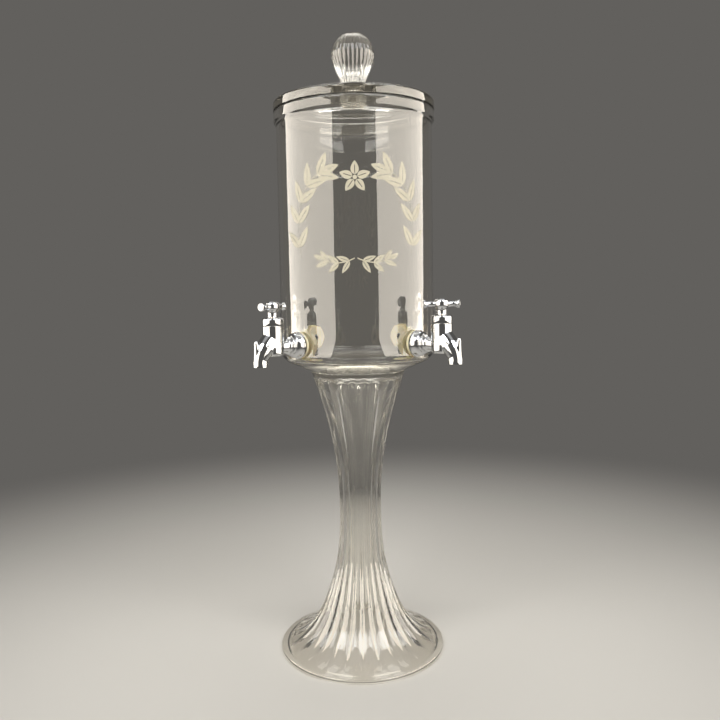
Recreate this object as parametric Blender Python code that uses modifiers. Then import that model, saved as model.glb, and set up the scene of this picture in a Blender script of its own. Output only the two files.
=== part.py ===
"""Absinthe fountain: a glass reservoir with a lid, on a ribbed trumpet foot, with four screw-down taps.

Metres, +Z up. The origin is the middle of the foot on the table, and -Y is the front, between two taps.
"""

import math

import bmesh
import bpy
from mathutils import Matrix, Vector
from mathutils.geometry import interpolate_bezier

# Shared fits
SEAT_GAP = 0.0003  # between any two pieces that rest on each other
OVERRUN = 0.001  # how far a cutter passes the face that it opens

# Pedestal: a pressed glass trumpet, hollow from below
FOOT_RADIUS = 0.0716
FOOT_RIM_HEIGHT = 0.0042
FOOT_RIM_ROUND = 0.0012
FOOT_LAND_WIDTH = 0.0060  # the ground ring that stands on the table
FLARE_RADIUS = 0.0330  # where the stem turns into the foot
FLARE_HEIGHT = 0.0389
WAIST_RADIUS = 0.0180
WAIST_HEIGHT = 0.1250
PEDESTAL_TOP_RADIUS = 0.0405
PEDESTAL_HEIGHT = 0.2458
PEDESTAL_WALL = 0.0040
PEDESTAL_TOP_PLATE = 0.0025
COLLAR_HEIGHT = 0.0050  # the plain band above the rib heads
RIB_COUNT = 24
RIB_DEPTH_SHARE = 0.17  # of the rib's own width
RIB_END_SHARES = (0.74, 0.92)  # of the foot's radius, where the ribs start to fade and are gone
RIB_HEAD_SHARE = 0.035  # of the pedestal's height, over which a rib's head rounds off

# Bowl: the reservoir
BOWL_RADIUS = 0.0650
BOWL_WALL = 0.0040
BOWL_FLOOR = 0.0106  # thickness in the middle
BOWL_HEIGHT = 0.2142
BOWL_BASE_RADIUS = 0.0415
BOWL_CORNER_RISE = 0.0108  # how far the sloping underside climbs to the wall
BOWL_CORNER_ROUND = 0.0055
BOWL_INNER_FILLET = 0.0036
BOWL_LIP_ROUND = 0.0012
BEAD_PROUD = 0.0019  # the thickened rim stands this far out of the wall
BEAD_HEIGHT = 0.0068
BEAD_RUN_OUT = 0.0060  # how far its underside tapers down the wall

# Lid and its knob
LID_SIDE_CLEARANCE = 0.0010
LID_FLANGE_THICKNESS = 0.0077
LID_EDGE_ROUND = 0.0018
LID_SKIRT_DEPTH = 0.0107
LID_SKIRT_WALL = 0.0045
LID_CROWN_THICKNESS = 0.0050
LID_CROWN_RISE = 0.0060
LID_BOSS_RADIUS = 0.0135
LID_BOSS_RISE = 0.0020
KNOB_HEIGHT = 0.0483
KNOB_RADIUS = 0.0178
KNOB_NECK_RADIUS = 0.0092
KNOB_FOOT_RADIUS = 0.0112
KNOB_STUB_RADIUS = 0.0060
KNOB_STUB_LENGTH = 0.0028
KNOB_RIB_DEPTH = 0.0007

# Taps: where they are
TAP_AZIMUTHS = {"front_left": -135, "front_right": -45, "back_right": 45, "back_left": 135}
TAP_ABOVE_FLOOR = 0.0144  # the inlet's axis above the bowl's inner floor
TAP_REACH = 0.0268  # from the bowl's outside to the barrel's axis
HANDLE_TURNS = {"front_left": 13, "front_right": 45, "back_right": 33, "back_left": -33}

# Taps: tail and fixings
SHANK_RADIUS = 0.0058
SHANK_INSIDE = 0.0070  # how far the tail stands into the bowl, a little short of its nut's face
SHANK_HOLE_CLEARANCE = 0.0005
OUTER_WASHER_RADIUS = 0.0104
OUTER_WASHER_THICKNESS = 0.0012
INNER_WASHER_RADIUS = 0.0108
INNER_WASHER_THICKNESS = 0.0018
NUT_ACROSS_FLATS = 0.0184
NUT_THICKNESS = 0.0042
NUT_CHAMFER = 0.0007

# Taps: body casting
FLANGE_RADIUS = 0.0106
FLANGE_RIM = 0.0016
FLANGE_DOME_LENGTH = 0.0062
INLET_NECK_RADIUS = 0.0055
INLET_COLLAR_RADIUS = 0.0068
INLET_COLLAR_LENGTH = 0.0030
BARREL_RADIUS = 0.0083
BARREL_ABOVE_AXIS = 0.0164
BARREL_BELOW_AXIS = 0.0068
BARREL_BOTTOM_ROUND = 0.0026
SPOUT_REACH = 0.0130  # from the barrel's axis to the mouth's axis
SPOUT_BELOW_AXIS = 0.0141
SPOUT_MOUTH_RADIUS = 0.0054
SPOUT_ROOT_RADIUS = 0.0072
PASSAGE_RADIUS = 0.0021
MOUTH_BORE_RADIUS = 0.0035
SPUR_BASE_RADIUS = 0.0023
SPUR_TIP_RADIUS = 0.0011
SPUR_ABOVE_AXIS = 0.0054
SPUR_ROOT_BELOW_AXIS = 0.0112

# Taps: valve inside the barrel
CHAMBER_RADIUS = 0.0060
SEAT_ABOVE_AXIS = 0.0062
SEAT_BORE_RADIUS = 0.0018
SEAT_RING_RADIUS = 0.0029
SEAT_RING_HEIGHT = 0.0014  # of the seat's raised ring above the chamber's floor
SEAT_WASHER_RADIUS = 0.0038
SEAT_WASHER_THICKNESS = 0.0012
JUMPER_RADIUS = 0.0044
JUMPER_THICKNESS = 0.0012
JUMPER_STEM_RADIUS = 0.0011
JUMPER_STEM_LENGTH = 0.0030
VALVE_LIFT = 0.0015  # over the handle's full swing
SPINDLE_RADIUS = 0.0026
SPINDLE_COLLAR_RADIUS = 0.0045
SPINDLE_COLLAR_HEIGHT = 0.0012
BONNET_RADIUS = 0.0083
BONNET_HEIGHT = 0.0064
BONNET_TOP_ROUND = 0.0016
PACKING_WIDTH = 0.0014
PACKING_HEIGHT = 0.0020
RUNNING_CLEARANCE = 0.0003  # round the turning spindle and the sliding jumper

# Taps: handle
HANDLE_BOSS_RADIUS = 0.0040
HANDLE_BOSS_HEIGHT = 0.0040
HUB_RADIUS = 0.0056
HUB_HEIGHT = 0.0078
HUB_TOP_ROUND = 0.0014
HUB_TAPER = 0.0018
BAR_REACH = 0.0140  # from the hub's axis to a bar's end
BAR_NECK_RADIUS = 0.0017
BAR_END_RADIUS = 0.0030
BAR_END_LENGTH = 0.0016
SCREW_HEAD_RADIUS = 0.0026
SCREW_HEAD_HEIGHT = 0.0012
SCREW_SHANK_RADIUS = 0.0010
SCREW_LENGTH = 0.0050
SCREW_SINK = 0.0004  # how far the head lies under the hub's top
SOCKET_ROOF = 0.0012  # metal between the spindle's top and the screw's head

# Facets round each kind of turned piece
BOWL_STEPS = 36
LID_STEPS = 32
CORE_STEPS = 24
RIB_STEPS = 3
KNOB_RIB_STEPS = 2
TAP_STEPS = 12
SMALL_STEPS = 8

# Places that follow from the sizes above
BOWL_BOTTOM_Z = PEDESTAL_HEIGHT + SEAT_GAP
BOWL_FLOOR_Z = BOWL_BOTTOM_Z + BOWL_FLOOR
BOWL_TOP_Z = BOWL_BOTTOM_Z + BOWL_HEIGHT
BOWL_INNER_RADIUS = BOWL_RADIUS - BOWL_WALL
LID_SEAT_Z = BOWL_TOP_Z + SEAT_GAP
LID_FLANGE_TOP_Z = LID_SEAT_Z + LID_FLANGE_THICKNESS
LID_BOSS_TOP_Z = LID_FLANGE_TOP_Z + LID_CROWN_RISE + LID_BOSS_RISE
TAP_AXIS_Z = BOWL_FLOOR_Z + TAP_ABOVE_FLOOR
BARREL_X = BOWL_RADIUS + TAP_REACH
SPOUT_X = BARREL_X + SPOUT_REACH
SPOUT_MOUTH_Z = TAP_AXIS_Z - SPOUT_BELOW_AXIS
BARREL_TOP_Z = TAP_AXIS_Z + BARREL_ABOVE_AXIS
SEAT_Z = TAP_AXIS_Z + SEAT_ABOVE_AXIS
BONNET_Z = BARREL_TOP_Z + SEAT_GAP
BONNET_TOP_Z = BONNET_Z + BONNET_HEIGHT
SEAT_WASHER_Z = SEAT_Z + SEAT_GAP
JUMPER_Z = SEAT_WASHER_Z + SEAT_WASHER_THICKNESS + SEAT_GAP
SPINDLE_TIP_Z = JUMPER_Z + JUMPER_THICKNESS + SEAT_GAP
SPINDLE_COLLAR_TOP_Z = SPINDLE_TIP_Z + SPINDLE_COLLAR_HEIGHT
SPIGOT_Z = SPINDLE_COLLAR_TOP_Z + VALVE_LIFT + SEAT_GAP
PACKING_Z = (BONNET_Z + BONNET_TOP_Z - PACKING_HEIGHT) / 2
HANDLE_Z = BONNET_TOP_Z + SEAT_GAP
HUB_Z = HANDLE_Z + HANDLE_BOSS_HEIGHT
HUB_TOP_Z = HUB_Z + HUB_HEIGHT
SCREW_SEAT_Z = HUB_TOP_Z - SCREW_SINK - SCREW_HEAD_HEIGHT - SEAT_GAP
SPINDLE_TOP_Z = SCREW_SEAT_Z - SOCKET_ROOF - SEAT_GAP
FLANGE_X = BOWL_RADIUS + SEAT_GAP + OUTER_WASHER_THICKNESS + SEAT_GAP
SHANK_END_X = BOWL_INNER_RADIUS - SHANK_INSIDE


# Scene and materials


def clear_scene():
    for old in list(bpy.data.objects):
        bpy.data.objects.remove(old, do_unlink=True)
    for old in list(bpy.data.collections):
        bpy.data.collections.remove(old)


def new_collection(name):
    collection = bpy.data.collections.new(name)
    bpy.context.scene.collection.children.link(collection)
    return collection


def new_material(name, colour, roughness, metallic=0.0, transmission=0.0):
    material = bpy.data.materials.new(name)
    material.use_nodes = True
    shader = material.node_tree.nodes["Principled BSDF"]
    shader.inputs["Base Color"].default_value = (*colour, 1.0)
    shader.inputs["Roughness"].default_value = roughness
    shader.inputs["Metallic"].default_value = metallic
    shader.inputs["Transmission Weight"].default_value = transmission
    material.diffuse_color = (*colour, 1.0)
    return material


clear_scene()
PARTS = new_collection("absinthe_fountain")
CUTTERS = new_collection("cutters")
GLASS = new_material("clear_glass", (0.92, 0.92, 0.89), 0.02, transmission=1.0)
CHROME = new_material("polished_chrome", (0.80, 0.80, 0.81), 0.06, metallic=1.0)
BRASS = new_material("turned_brass", (0.72, 0.53, 0.24), 0.28, metallic=1.0)
SILICONE = new_material("cream_silicone", (0.85, 0.79, 0.62), 0.45)
NYLON = new_material("cream_nylon", (0.87, 0.82, 0.68), 0.38)
RUBBER = new_material("black_rubber", (0.03, 0.03, 0.03), 0.60)


# Outlines, as (radius, height) points


def corner_arc(before, corner, after, radius, steps):
    """Points of the fillet of that radius at corner, held to what the two edges have room for."""
    corner = Vector(corner)
    along_in = Vector(before) - corner
    along_out = Vector(after) - corner
    half_angle = along_in.angle(along_out) / 2
    room = min(along_in.length, along_out.length) / 2
    setback = min(radius / math.tan(half_angle), room)
    start = corner + along_in.normalized() * setback
    end = corner + along_out.normalized() * setback
    return [tuple(p) for p in bezier_points(start, corner, corner, end, steps, round_share(half_angle))]


def round_share(half_angle):
    """How far along each edge a Bezier handle reaches so that a fillet's curve is round."""
    turn = math.pi - 2 * half_angle
    return 4 / 3 * math.tan(turn / 4) / math.tan(turn / 2)


def bezier_points(start, handle_a, handle_b, end, steps, handle_share=1.0):
    """Points along a cubic Bezier, whose handles are pulled back towards its ends by handle_share."""
    start, end = Vector(start), Vector(end)
    handle_a = start.lerp(Vector(handle_a), handle_share)
    handle_b = end.lerp(Vector(handle_b), handle_share)
    corners = [p.to_3d() for p in (start, handle_a, handle_b, end)]
    return [tuple(p.xy) for p in interpolate_bezier(*corners, steps + 1)]


def outline(corners, closed=False):
    """A polyline through corners. A corner's third value rounds it, and a fourth is its facet count."""
    points = []
    count = len(corners)
    for i, corner in enumerate(corners):
        inner = closed or 0 < i < count - 1
        if len(corner) > 2 and inner:
            before = corners[i - 1][:2]
            after = corners[(i + 1) % count][:2]
            steps = corner[3] if len(corner) > 3 else 1
            points += corner_arc(before, corner[:2], after, corner[2], steps)
        else:
            points.append(tuple(corner[:2]))
    return points


# Solids


def put_in(collection, name, mesh, material=None):
    obj = bpy.data.objects.new(name, mesh)
    collection.objects.link(obj)
    if material:
        mesh.materials.clear()
        mesh.materials.append(material)
    return obj


def helper(name, mesh):
    """An object that only shapes others. It is never part of the fountain."""
    obj = put_in(CUTTERS, name, mesh)
    obj.hide_render = True
    obj.display_type = "WIRE"
    return obj


def evaluated_mesh(obj):
    bpy.context.view_layer.update()
    graph = bpy.context.evaluated_depsgraph_get()
    return bpy.data.meshes.new_from_object(obj.evaluated_get(graph), depsgraph=graph)


def turned_mesh(name, profile, steps, closed=False):
    """The solid that a profile sweeps round Z. The profile runs down its outer side."""
    edges = [(i, i + 1) for i in range(len(profile) - 1)]
    if closed:
        edges.append((len(profile) - 1, 0))
    mesh = bpy.data.meshes.new(name)
    mesh.from_pydata([(r, 0, z) for r, z in profile], edges, [])
    blank = helper(name + "_profile", mesh)
    screw = blank.modifiers.new("turn", "SCREW")
    screw.steps = screw.render_steps = steps
    screw.use_merge_vertices = True
    screw.merge_threshold = 0.00001
    solid = evaluated_mesh(blank)
    bpy.data.objects.remove(blank)
    return smooth(solid)


def lying_mesh(name, profile, steps, closed=False):
    """As turned_mesh, about +X: the profile's heights are places along X."""
    mesh = turned_mesh(name, profile, steps, closed)
    mesh.transform(Matrix.Rotation(math.radians(90), 4, "Y"))
    return mesh


def tube_mesh(name, path, radii, resolution):
    """A closed tube along path whose radius at each point comes from radii."""
    curve = bpy.data.curves.new(name, "CURVE")
    curve.dimensions = "3D"
    curve.bevel_depth = radii[0]
    curve.bevel_resolution = resolution
    curve.use_fill_caps = True
    spline = curve.splines.new("POLY")
    spline.points.add(len(path) - 1)
    for point, place, radius in zip(spline.points, path, radii):
        point.co = (*place, 1)
        point.radius = radius / radii[0]
    guide = put_in(CUTTERS, name + "_guide", curve)
    guide.hide_render = True
    mesh = evaluated_mesh(guide)
    bpy.data.objects.remove(guide)
    return welded(mesh)


def welded(mesh):
    shape = bmesh.new()
    shape.from_mesh(mesh)
    bmesh.ops.remove_doubles(shape, verts=shape.verts, dist=0.00001)
    bmesh.ops.recalc_face_normals(shape, faces=shape.faces)
    shape.to_mesh(mesh)
    shape.free()
    return mesh


def smooth(mesh):
    mesh.shade_smooth()
    mesh.set_sharp_from_angle(angle=math.radians(35))
    return mesh


def combined(name, base, steps):
    """The base mesh after each (operation, mesh) in steps."""
    work = helper(name, base)
    tools = []
    for i, (operation, mesh) in enumerate(steps):
        tool = helper(f"{name}_tool_{i}", mesh)
        cut = work.modifiers.new(operation.lower(), "BOOLEAN")
        cut.operation = operation
        cut.solver = "EXACT"
        cut.object = tool
        tools.append(tool)
    result = evaluated_mesh(work)
    for used in [work, *tools]:
        bpy.data.objects.remove(used)
    result.name = name
    return smooth(result)


def cylinder_mesh(name, radius, low, high, steps):
    """A plain cylinder about Z."""
    return turned_mesh(name, [(0, high), (radius, high), (radius, low), (0, low)], steps)


def rod_mesh(name, radius, low, high, steps):
    """A plain cylinder about X."""
    return lying_mesh(name, [(0, high), (radius, high), (radius, low), (0, low)], steps)


def ring_mesh(name, inner, outer, low, high):
    """A flat ring about Z."""
    corners = [(inner, high), (outer, high), (outer, low), (inner, low)]
    return turned_mesh(name, corners, SMALL_STEPS, closed=True)


def moved(mesh, offset):
    mesh.transform(Matrix.Translation(offset))
    return mesh


# Ribs


def profile_normals(profile):
    """The outward normal at each point of a profile that runs down its outer side."""
    normals = []
    for i in range(len(profile)):
        before = Vector(profile[max(i - 1, 0)])
        after = Vector(profile[min(i + 1, len(profile) - 1)])
        along = (after - before).normalized()
        normals.append(Vector((-along.y, along.x)))
    return normals


def ribbed(mesh, profile, depths, count):
    """Sinks a turned mesh between its ribs. Each rib is rounded, with a crease on each side."""
    normals = profile_normals(profile)
    for vertex in mesh.vertices:
        x, y, z = vertex.co
        radius = math.hypot(x, y)
        ring = min(range(len(profile)), key=lambda i: math.dist(profile[i], (radius, z)))
        if not depths[ring]:
            continue
        angle = math.atan2(y, x)
        sink = depths[ring] * (1 - abs(math.sin(count * angle / 2)))
        outwards = radius - sink * normals[ring].x
        vertex.co = (
            math.cos(angle) * outwards,
            math.sin(angle) * outwards,
            z - sink * normals[ring].y,
        )
    mesh.update()
    return mesh


# Pedestal


def horn_profile():
    """The trumpet's outside below its collar, from the rib heads down to the foot's rim."""
    waist = (WAIST_RADIUS, WAIST_HEIGHT)
    horn_rise = PEDESTAL_HEIGHT - WAIST_HEIGHT
    horn_swell = PEDESTAL_TOP_RADIUS - WAIST_RADIUS
    stem_drop = WAIST_HEIGHT - FLARE_HEIGHT
    stem_swell = FLARE_RADIUS - WAIST_RADIUS
    foot_swell = FOOT_RADIUS - FOOT_RIM_ROUND - FLARE_RADIUS
    foot_drop = FLARE_HEIGHT - FOOT_RIM_HEIGHT
    waist_handle_share, lip_handle_shares = 0.41, (0.61, 0.33)
    stem_handle_share, flare_handle_shares = 0.41, (0.76, 0.35)
    skirt_handle_shares, rim_handle_shares = (0.18, 0.46), (0.48, 0.13)
    upper = bezier_points(
        (PEDESTAL_TOP_RADIUS, PEDESTAL_HEIGHT),
        (
            PEDESTAL_TOP_RADIUS - lip_handle_shares[0] * horn_swell,
            PEDESTAL_HEIGHT - lip_handle_shares[1] * horn_rise,
        ),
        (WAIST_RADIUS, WAIST_HEIGHT + waist_handle_share * horn_rise),
        waist,
        5,
    )
    middle = bezier_points(
        waist,
        (WAIST_RADIUS, WAIST_HEIGHT - stem_handle_share * stem_drop),
        (
            FLARE_RADIUS - flare_handle_shares[0] * stem_swell,
            FLARE_HEIGHT + flare_handle_shares[1] * stem_drop,
        ),
        (FLARE_RADIUS, FLARE_HEIGHT),
        3,
    )
    lower = bezier_points(
        (FLARE_RADIUS, FLARE_HEIGHT),
        (
            FLARE_RADIUS + skirt_handle_shares[0] * foot_swell,
            FLARE_HEIGHT - skirt_handle_shares[1] * foot_drop,
        ),
        (
            FLARE_RADIUS + rim_handle_shares[0] * foot_swell,
            FOOT_RIM_HEIGHT + rim_handle_shares[1] * foot_drop,
        ),
        (FLARE_RADIUS + foot_swell, FOOT_RIM_HEIGHT),
        4,
    )
    return upper + middle[1:] + lower[1:]


def radius_at(profile, height):
    """The profile's radius at a height, on the straight line between its points."""
    for (r0, z0), (r1, z1) in zip(profile, profile[1:]):
        if z0 >= height >= z1 and z0 > z1:
            return r0 + (r1 - r0) * (z0 - height) / (z0 - z1)
    return profile[-1][0]


def rib_depth(radius, height):
    """How deep the creases are at a place on the trumpet: nothing on the collar and at the foot's edge."""
    fade_from, fade_to = (share * FOOT_RADIUS for share in RIB_END_SHARES)
    width = 2 * math.pi * radius / RIB_COUNT
    rib_top = PEDESTAL_HEIGHT - COLLAR_HEIGHT
    head = (rib_top - height) / (RIB_HEAD_SHARE * PEDESTAL_HEIGHT)
    foot = (fade_to - radius) / (fade_to - fade_from)
    return RIB_DEPTH_SHARE * width * min(1, max(0, head) ** 0.5) * min(1, max(0, foot))


def pedestal_mesh():
    horn = horn_profile()
    rib_top = PEDESTAL_HEIGHT - COLLAR_HEIGHT
    head_length = RIB_HEAD_SHARE * PEDESTAL_HEIGHT
    breaks = [rib_top, rib_top - head_length / 4, rib_top - head_length]
    upper = [(radius_at(horn, z), z) for z in breaks]
    below = [p for p in horn if p[1] < breaks[-1] - SEAT_GAP]
    outside = [
        (0, PEDESTAL_HEIGHT),
        (PEDESTAL_TOP_RADIUS, PEDESTAL_HEIGHT),
        *upper,
        *below,
        (FOOT_RADIUS, FOOT_RIM_HEIGHT - FOOT_RIM_ROUND),
        (FOOT_RADIUS, 0),
        (0, 0),
    ]
    depths = [0, 0] + [rib_depth(r, z) for r, z in upper + below] + [0, 0, 0]
    blank = turned_mesh("pedestal_blank", outside, RIB_COUNT * RIB_STEPS)
    blank = ribbed(blank, outside, depths, RIB_COUNT)
    core = turned_mesh("pedestal_core", core_profile(horn), CORE_STEPS)
    return combined("pedestal", blank, [("DIFFERENCE", core)])


def core_profile(horn):
    """The hollow inside the trumpet: the outside moved in by the wall, and open at the table."""
    normals = profile_normals(horn)
    inside = [
        (r - PEDESTAL_WALL * n.x, z - PEDESTAL_WALL * n.y)
        for (r, z), n in zip(horn, normals)
    ]
    mouth_radius = FOOT_RADIUS - FOOT_LAND_WIDTH
    ceiling_z = PEDESTAL_HEIGHT - PEDESTAL_TOP_PLATE
    lowest_z = FOOT_RIM_HEIGHT / 2
    wall = [p for p in inside if lowest_z < p[1] < ceiling_z - PEDESTAL_WALL]
    ceiling_radius = radius_at(horn, ceiling_z) - 2 * PEDESTAL_WALL
    return [
        (0, ceiling_z),
        (ceiling_radius, ceiling_z),
        *[p for p in wall if p[0] < mouth_radius - lowest_z],
        (mouth_radius, 0),
        (mouth_radius, -OVERRUN),
        (0, -OVERRUN),
    ]


# Bowl


def bowl_mesh():
    bead_radius = BOWL_RADIUS + BEAD_PROUD
    bead_z = BOWL_TOP_Z - BEAD_HEIGHT
    bead_handle_share, wall_handle_share = 0.3, 0.35
    run_out = bezier_points(
        (bead_radius, bead_z),
        (bead_radius, bead_z - bead_handle_share * BEAD_RUN_OUT),
        (BOWL_RADIUS, bead_z - wall_handle_share * BEAD_RUN_OUT),
        (BOWL_RADIUS, bead_z - BEAD_RUN_OUT),
        3,
    )
    profile = outline(
        [
            (0, BOWL_FLOOR_Z),
            (BOWL_INNER_RADIUS, BOWL_FLOOR_Z, BOWL_INNER_FILLET, 2),
            (BOWL_INNER_RADIUS, BOWL_TOP_Z, BOWL_LIP_ROUND),
            (bead_radius, BOWL_TOP_Z, BOWL_LIP_ROUND),
            *run_out,
            (BOWL_RADIUS, BOWL_BOTTOM_Z + BOWL_CORNER_RISE, BOWL_CORNER_ROUND, 3),
            (BOWL_BASE_RADIUS, BOWL_BOTTOM_Z),
            (0, BOWL_BOTTOM_Z),
        ]
    )
    wall = turned_mesh("bowl_blank", profile, BOWL_STEPS)
    hole_radius = SHANK_RADIUS + SHANK_HOLE_CLEARANCE
    drills = []
    for azimuth in TAP_AZIMUTHS.values():
        inside, outside = BOWL_INNER_RADIUS - BOWL_WALL, BOWL_RADIUS + BOWL_WALL
        drill = rod_mesh("drill", hole_radius, inside, outside, TAP_STEPS)
        moved(drill, (0, 0, TAP_AXIS_Z))
        drill.transform(Matrix.Rotation(math.radians(azimuth), 4, "Z"))
        drills.append(("DIFFERENCE", drill))
    return combined("bowl", wall, drills)


# Lid


def lid_mesh():
    """The flange rests on the bowl's bead, and the skirt hangs inside it."""
    flange_radius = BOWL_RADIUS + BEAD_PROUD
    skirt_radius = BOWL_INNER_RADIUS - LID_SIDE_CLEARANCE
    skirt_inner = skirt_radius - LID_SKIRT_WALL
    skirt_z = LID_SEAT_Z - LID_SKIRT_DEPTH
    crown_z = LID_FLANGE_TOP_Z + LID_CROWN_RISE
    boss_foot = LID_BOSS_RADIUS + LID_BOSS_RISE
    ceiling_edge_z = LID_FLANGE_TOP_Z - LID_CROWN_THICKNESS
    ceiling_z = crown_z - LID_CROWN_THICKNESS
    crown = bezier_points(
        (boss_foot, crown_z),
        ((boss_foot + skirt_inner) / 2, crown_z),
        ((boss_foot + skirt_inner) / 2, LID_FLANGE_TOP_Z),
        (skirt_inner, LID_FLANGE_TOP_Z),
        4,
    )
    ceiling = bezier_points(
        (skirt_inner, ceiling_edge_z),
        ((boss_foot + skirt_inner) / 2, ceiling_edge_z),
        ((boss_foot + skirt_inner) / 2, ceiling_z),
        (boss_foot, ceiling_z),
        3,
    )
    profile = outline(
        [
            (0, LID_BOSS_TOP_Z),
            (LID_BOSS_RADIUS, LID_BOSS_TOP_Z, LID_BOSS_RISE / 2),
            *crown,
            (flange_radius, LID_FLANGE_TOP_Z, LID_EDGE_ROUND),
            (flange_radius, LID_SEAT_Z, LID_EDGE_ROUND / 2),
            (skirt_radius, LID_SEAT_Z),
            (skirt_radius, skirt_z, LID_EDGE_ROUND / 2),
            (skirt_inner, skirt_z, LID_EDGE_ROUND / 2),
            *ceiling,
            (0, ceiling_z),
        ]
    )
    socket = cylinder_mesh(
        "knob_socket",
        KNOB_STUB_RADIUS + SEAT_GAP,
        LID_BOSS_TOP_Z - KNOB_STUB_LENGTH,
        LID_BOSS_TOP_Z + OVERRUN,
        TAP_STEPS,
    )
    blank = turned_mesh("lid_blank", profile, LID_STEPS)
    return combined("lid", blank, [("DIFFERENCE", socket)])


def knob_mesh():
    """A ribbed ball on a neck, with a stub that sits in the lid's boss."""
    base = LID_BOSS_TOP_Z + SEAT_GAP
    ball_z = base + KNOB_HEIGHT - KNOB_RADIUS
    neck_share, neck_handle_share, ball_handle_share = 0.085, 0.26, 0.30
    neck_z = base + neck_share * KNOB_HEIGHT
    quarter_turn_share = 0.5523
    top = bezier_points(
        (0, ball_z + KNOB_RADIUS),
        (KNOB_RADIUS, ball_z + KNOB_RADIUS),
        (KNOB_RADIUS, ball_z + KNOB_RADIUS),
        (KNOB_RADIUS, ball_z),
        5,
        quarter_turn_share,
    )
    under = bezier_points(
        (KNOB_RADIUS, ball_z),
        (KNOB_RADIUS, ball_z - ball_handle_share * (ball_z - neck_z)),
        (KNOB_NECK_RADIUS, neck_z + neck_handle_share * (ball_z - neck_z)),
        (KNOB_NECK_RADIUS, neck_z),
        4,
    )
    ribs = top[1:] + under[1:]
    profile = [
        (0, ball_z + KNOB_RADIUS),
        *ribs,
        (KNOB_FOOT_RADIUS, base + SEAT_GAP),
        (KNOB_FOOT_RADIUS, base),
        (KNOB_STUB_RADIUS, base),
        (KNOB_STUB_RADIUS, base + SEAT_GAP - KNOB_STUB_LENGTH),
        (0, base + SEAT_GAP - KNOB_STUB_LENGTH),
    ]
    depths = [0] + [KNOB_RIB_DEPTH * min(1, 2 * r / KNOB_RADIUS) for r, _ in ribs] + [0] * 5
    blank = turned_mesh("lid_knob", profile, RIB_COUNT * KNOB_RIB_STEPS)
    return smooth(ribbed(blank, profile, depths, RIB_COUNT))


# Tap pieces. X is the distance from the fountain's axis, along the tap's inlet.


def tap_barrel():
    bottom_z = TAP_AXIS_Z - BARREL_BELOW_AXIS
    profile = outline(
        [
            (0, BARREL_TOP_Z),
            (BARREL_RADIUS, BARREL_TOP_Z),
            (BARREL_RADIUS, bottom_z, BARREL_BOTTOM_ROUND, 2),
            (0, bottom_z),
        ]
    )
    return moved(turned_mesh("barrel", profile, TAP_STEPS), (BARREL_X, 0, 0))


def tap_inlet():
    """Domed flange, neck and collar outside the glass, and the threaded tail through it."""
    rim_x = FLANGE_X + FLANGE_RIM
    dome_x = rim_x + FLANGE_DOME_LENGTH
    collar_end = dome_x + INLET_COLLAR_LENGTH
    dome_share = 0.6
    dome = bezier_points(
        (INLET_COLLAR_RADIUS, dome_x),
        (INLET_COLLAR_RADIUS, rim_x),
        (FLANGE_RADIUS, dome_x),
        (FLANGE_RADIUS, rim_x),
        3,
        dome_share,
    )
    profile = [
        (0, BARREL_X - SEAT_GAP),
        (INLET_NECK_RADIUS, BARREL_X - SEAT_GAP),
        (INLET_NECK_RADIUS, collar_end),
        (INLET_COLLAR_RADIUS, collar_end),
        *dome,
        (FLANGE_RADIUS, FLANGE_X),
        (SHANK_RADIUS, FLANGE_X),
        (SHANK_RADIUS, SHANK_END_X),
        (0, SHANK_END_X),
    ]
    return moved(lying_mesh("inlet", profile, TAP_STEPS), (0, 0, TAP_AXIS_Z))


def spout_path(start_x, start_z, end_z, drop_share):
    """A way out of the barrel and down to the mouth, as (x, y, z) points."""
    lean_share = 0.115
    turn_share = 0.18
    turn_z = SPOUT_MOUTH_Z + turn_share * SPOUT_BELOW_AXIS
    lean = lean_share * (SPOUT_X - start_x)
    handle_z = start_z - drop_share * (start_z - turn_z)
    path = bezier_points(
        (start_x, start_z),
        (start_x + lean, handle_z),
        (SPOUT_X - lean, handle_z),
        (SPOUT_X, turn_z),
        5,
    )
    return [(x, 0, z) for x, z in path] + [(SPOUT_X, 0, end_z)]


def tap_spout():
    drop_share = 0.27
    path = spout_path(BARREL_X, SEAT_Z, SPOUT_MOUTH_Z, drop_share)
    narrowing = SPOUT_ROOT_RADIUS - SPOUT_MOUTH_RADIUS
    last = len(path) - 2
    radii = [SPOUT_MOUTH_RADIUS + narrowing * (1 - i / last) for i in range(len(path) - 1)]
    return tube_mesh("spout", path, radii + [SPOUT_MOUTH_RADIUS], 2)


def tap_spur():
    """The upright spur at the front of the spout."""
    top_z = TAP_AXIS_Z + SPUR_ABOVE_AXIS
    tip_round = SPUR_TIP_RADIUS / 2
    profile = [
        (0, top_z),
        (SPUR_TIP_RADIUS - tip_round, top_z),
        (SPUR_TIP_RADIUS, top_z - tip_round),
        (SPUR_BASE_RADIUS, TAP_AXIS_Z - SPUR_ROOT_BELOW_AXIS),
        (0, TAP_AXIS_Z - SPUR_ROOT_BELOW_AXIS),
    ]
    front_x = SPOUT_X + SPOUT_MOUTH_RADIUS - SPUR_BASE_RADIUS
    return moved(turned_mesh("spur", profile, SMALL_STEPS), (front_x, 0, 0))


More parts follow.
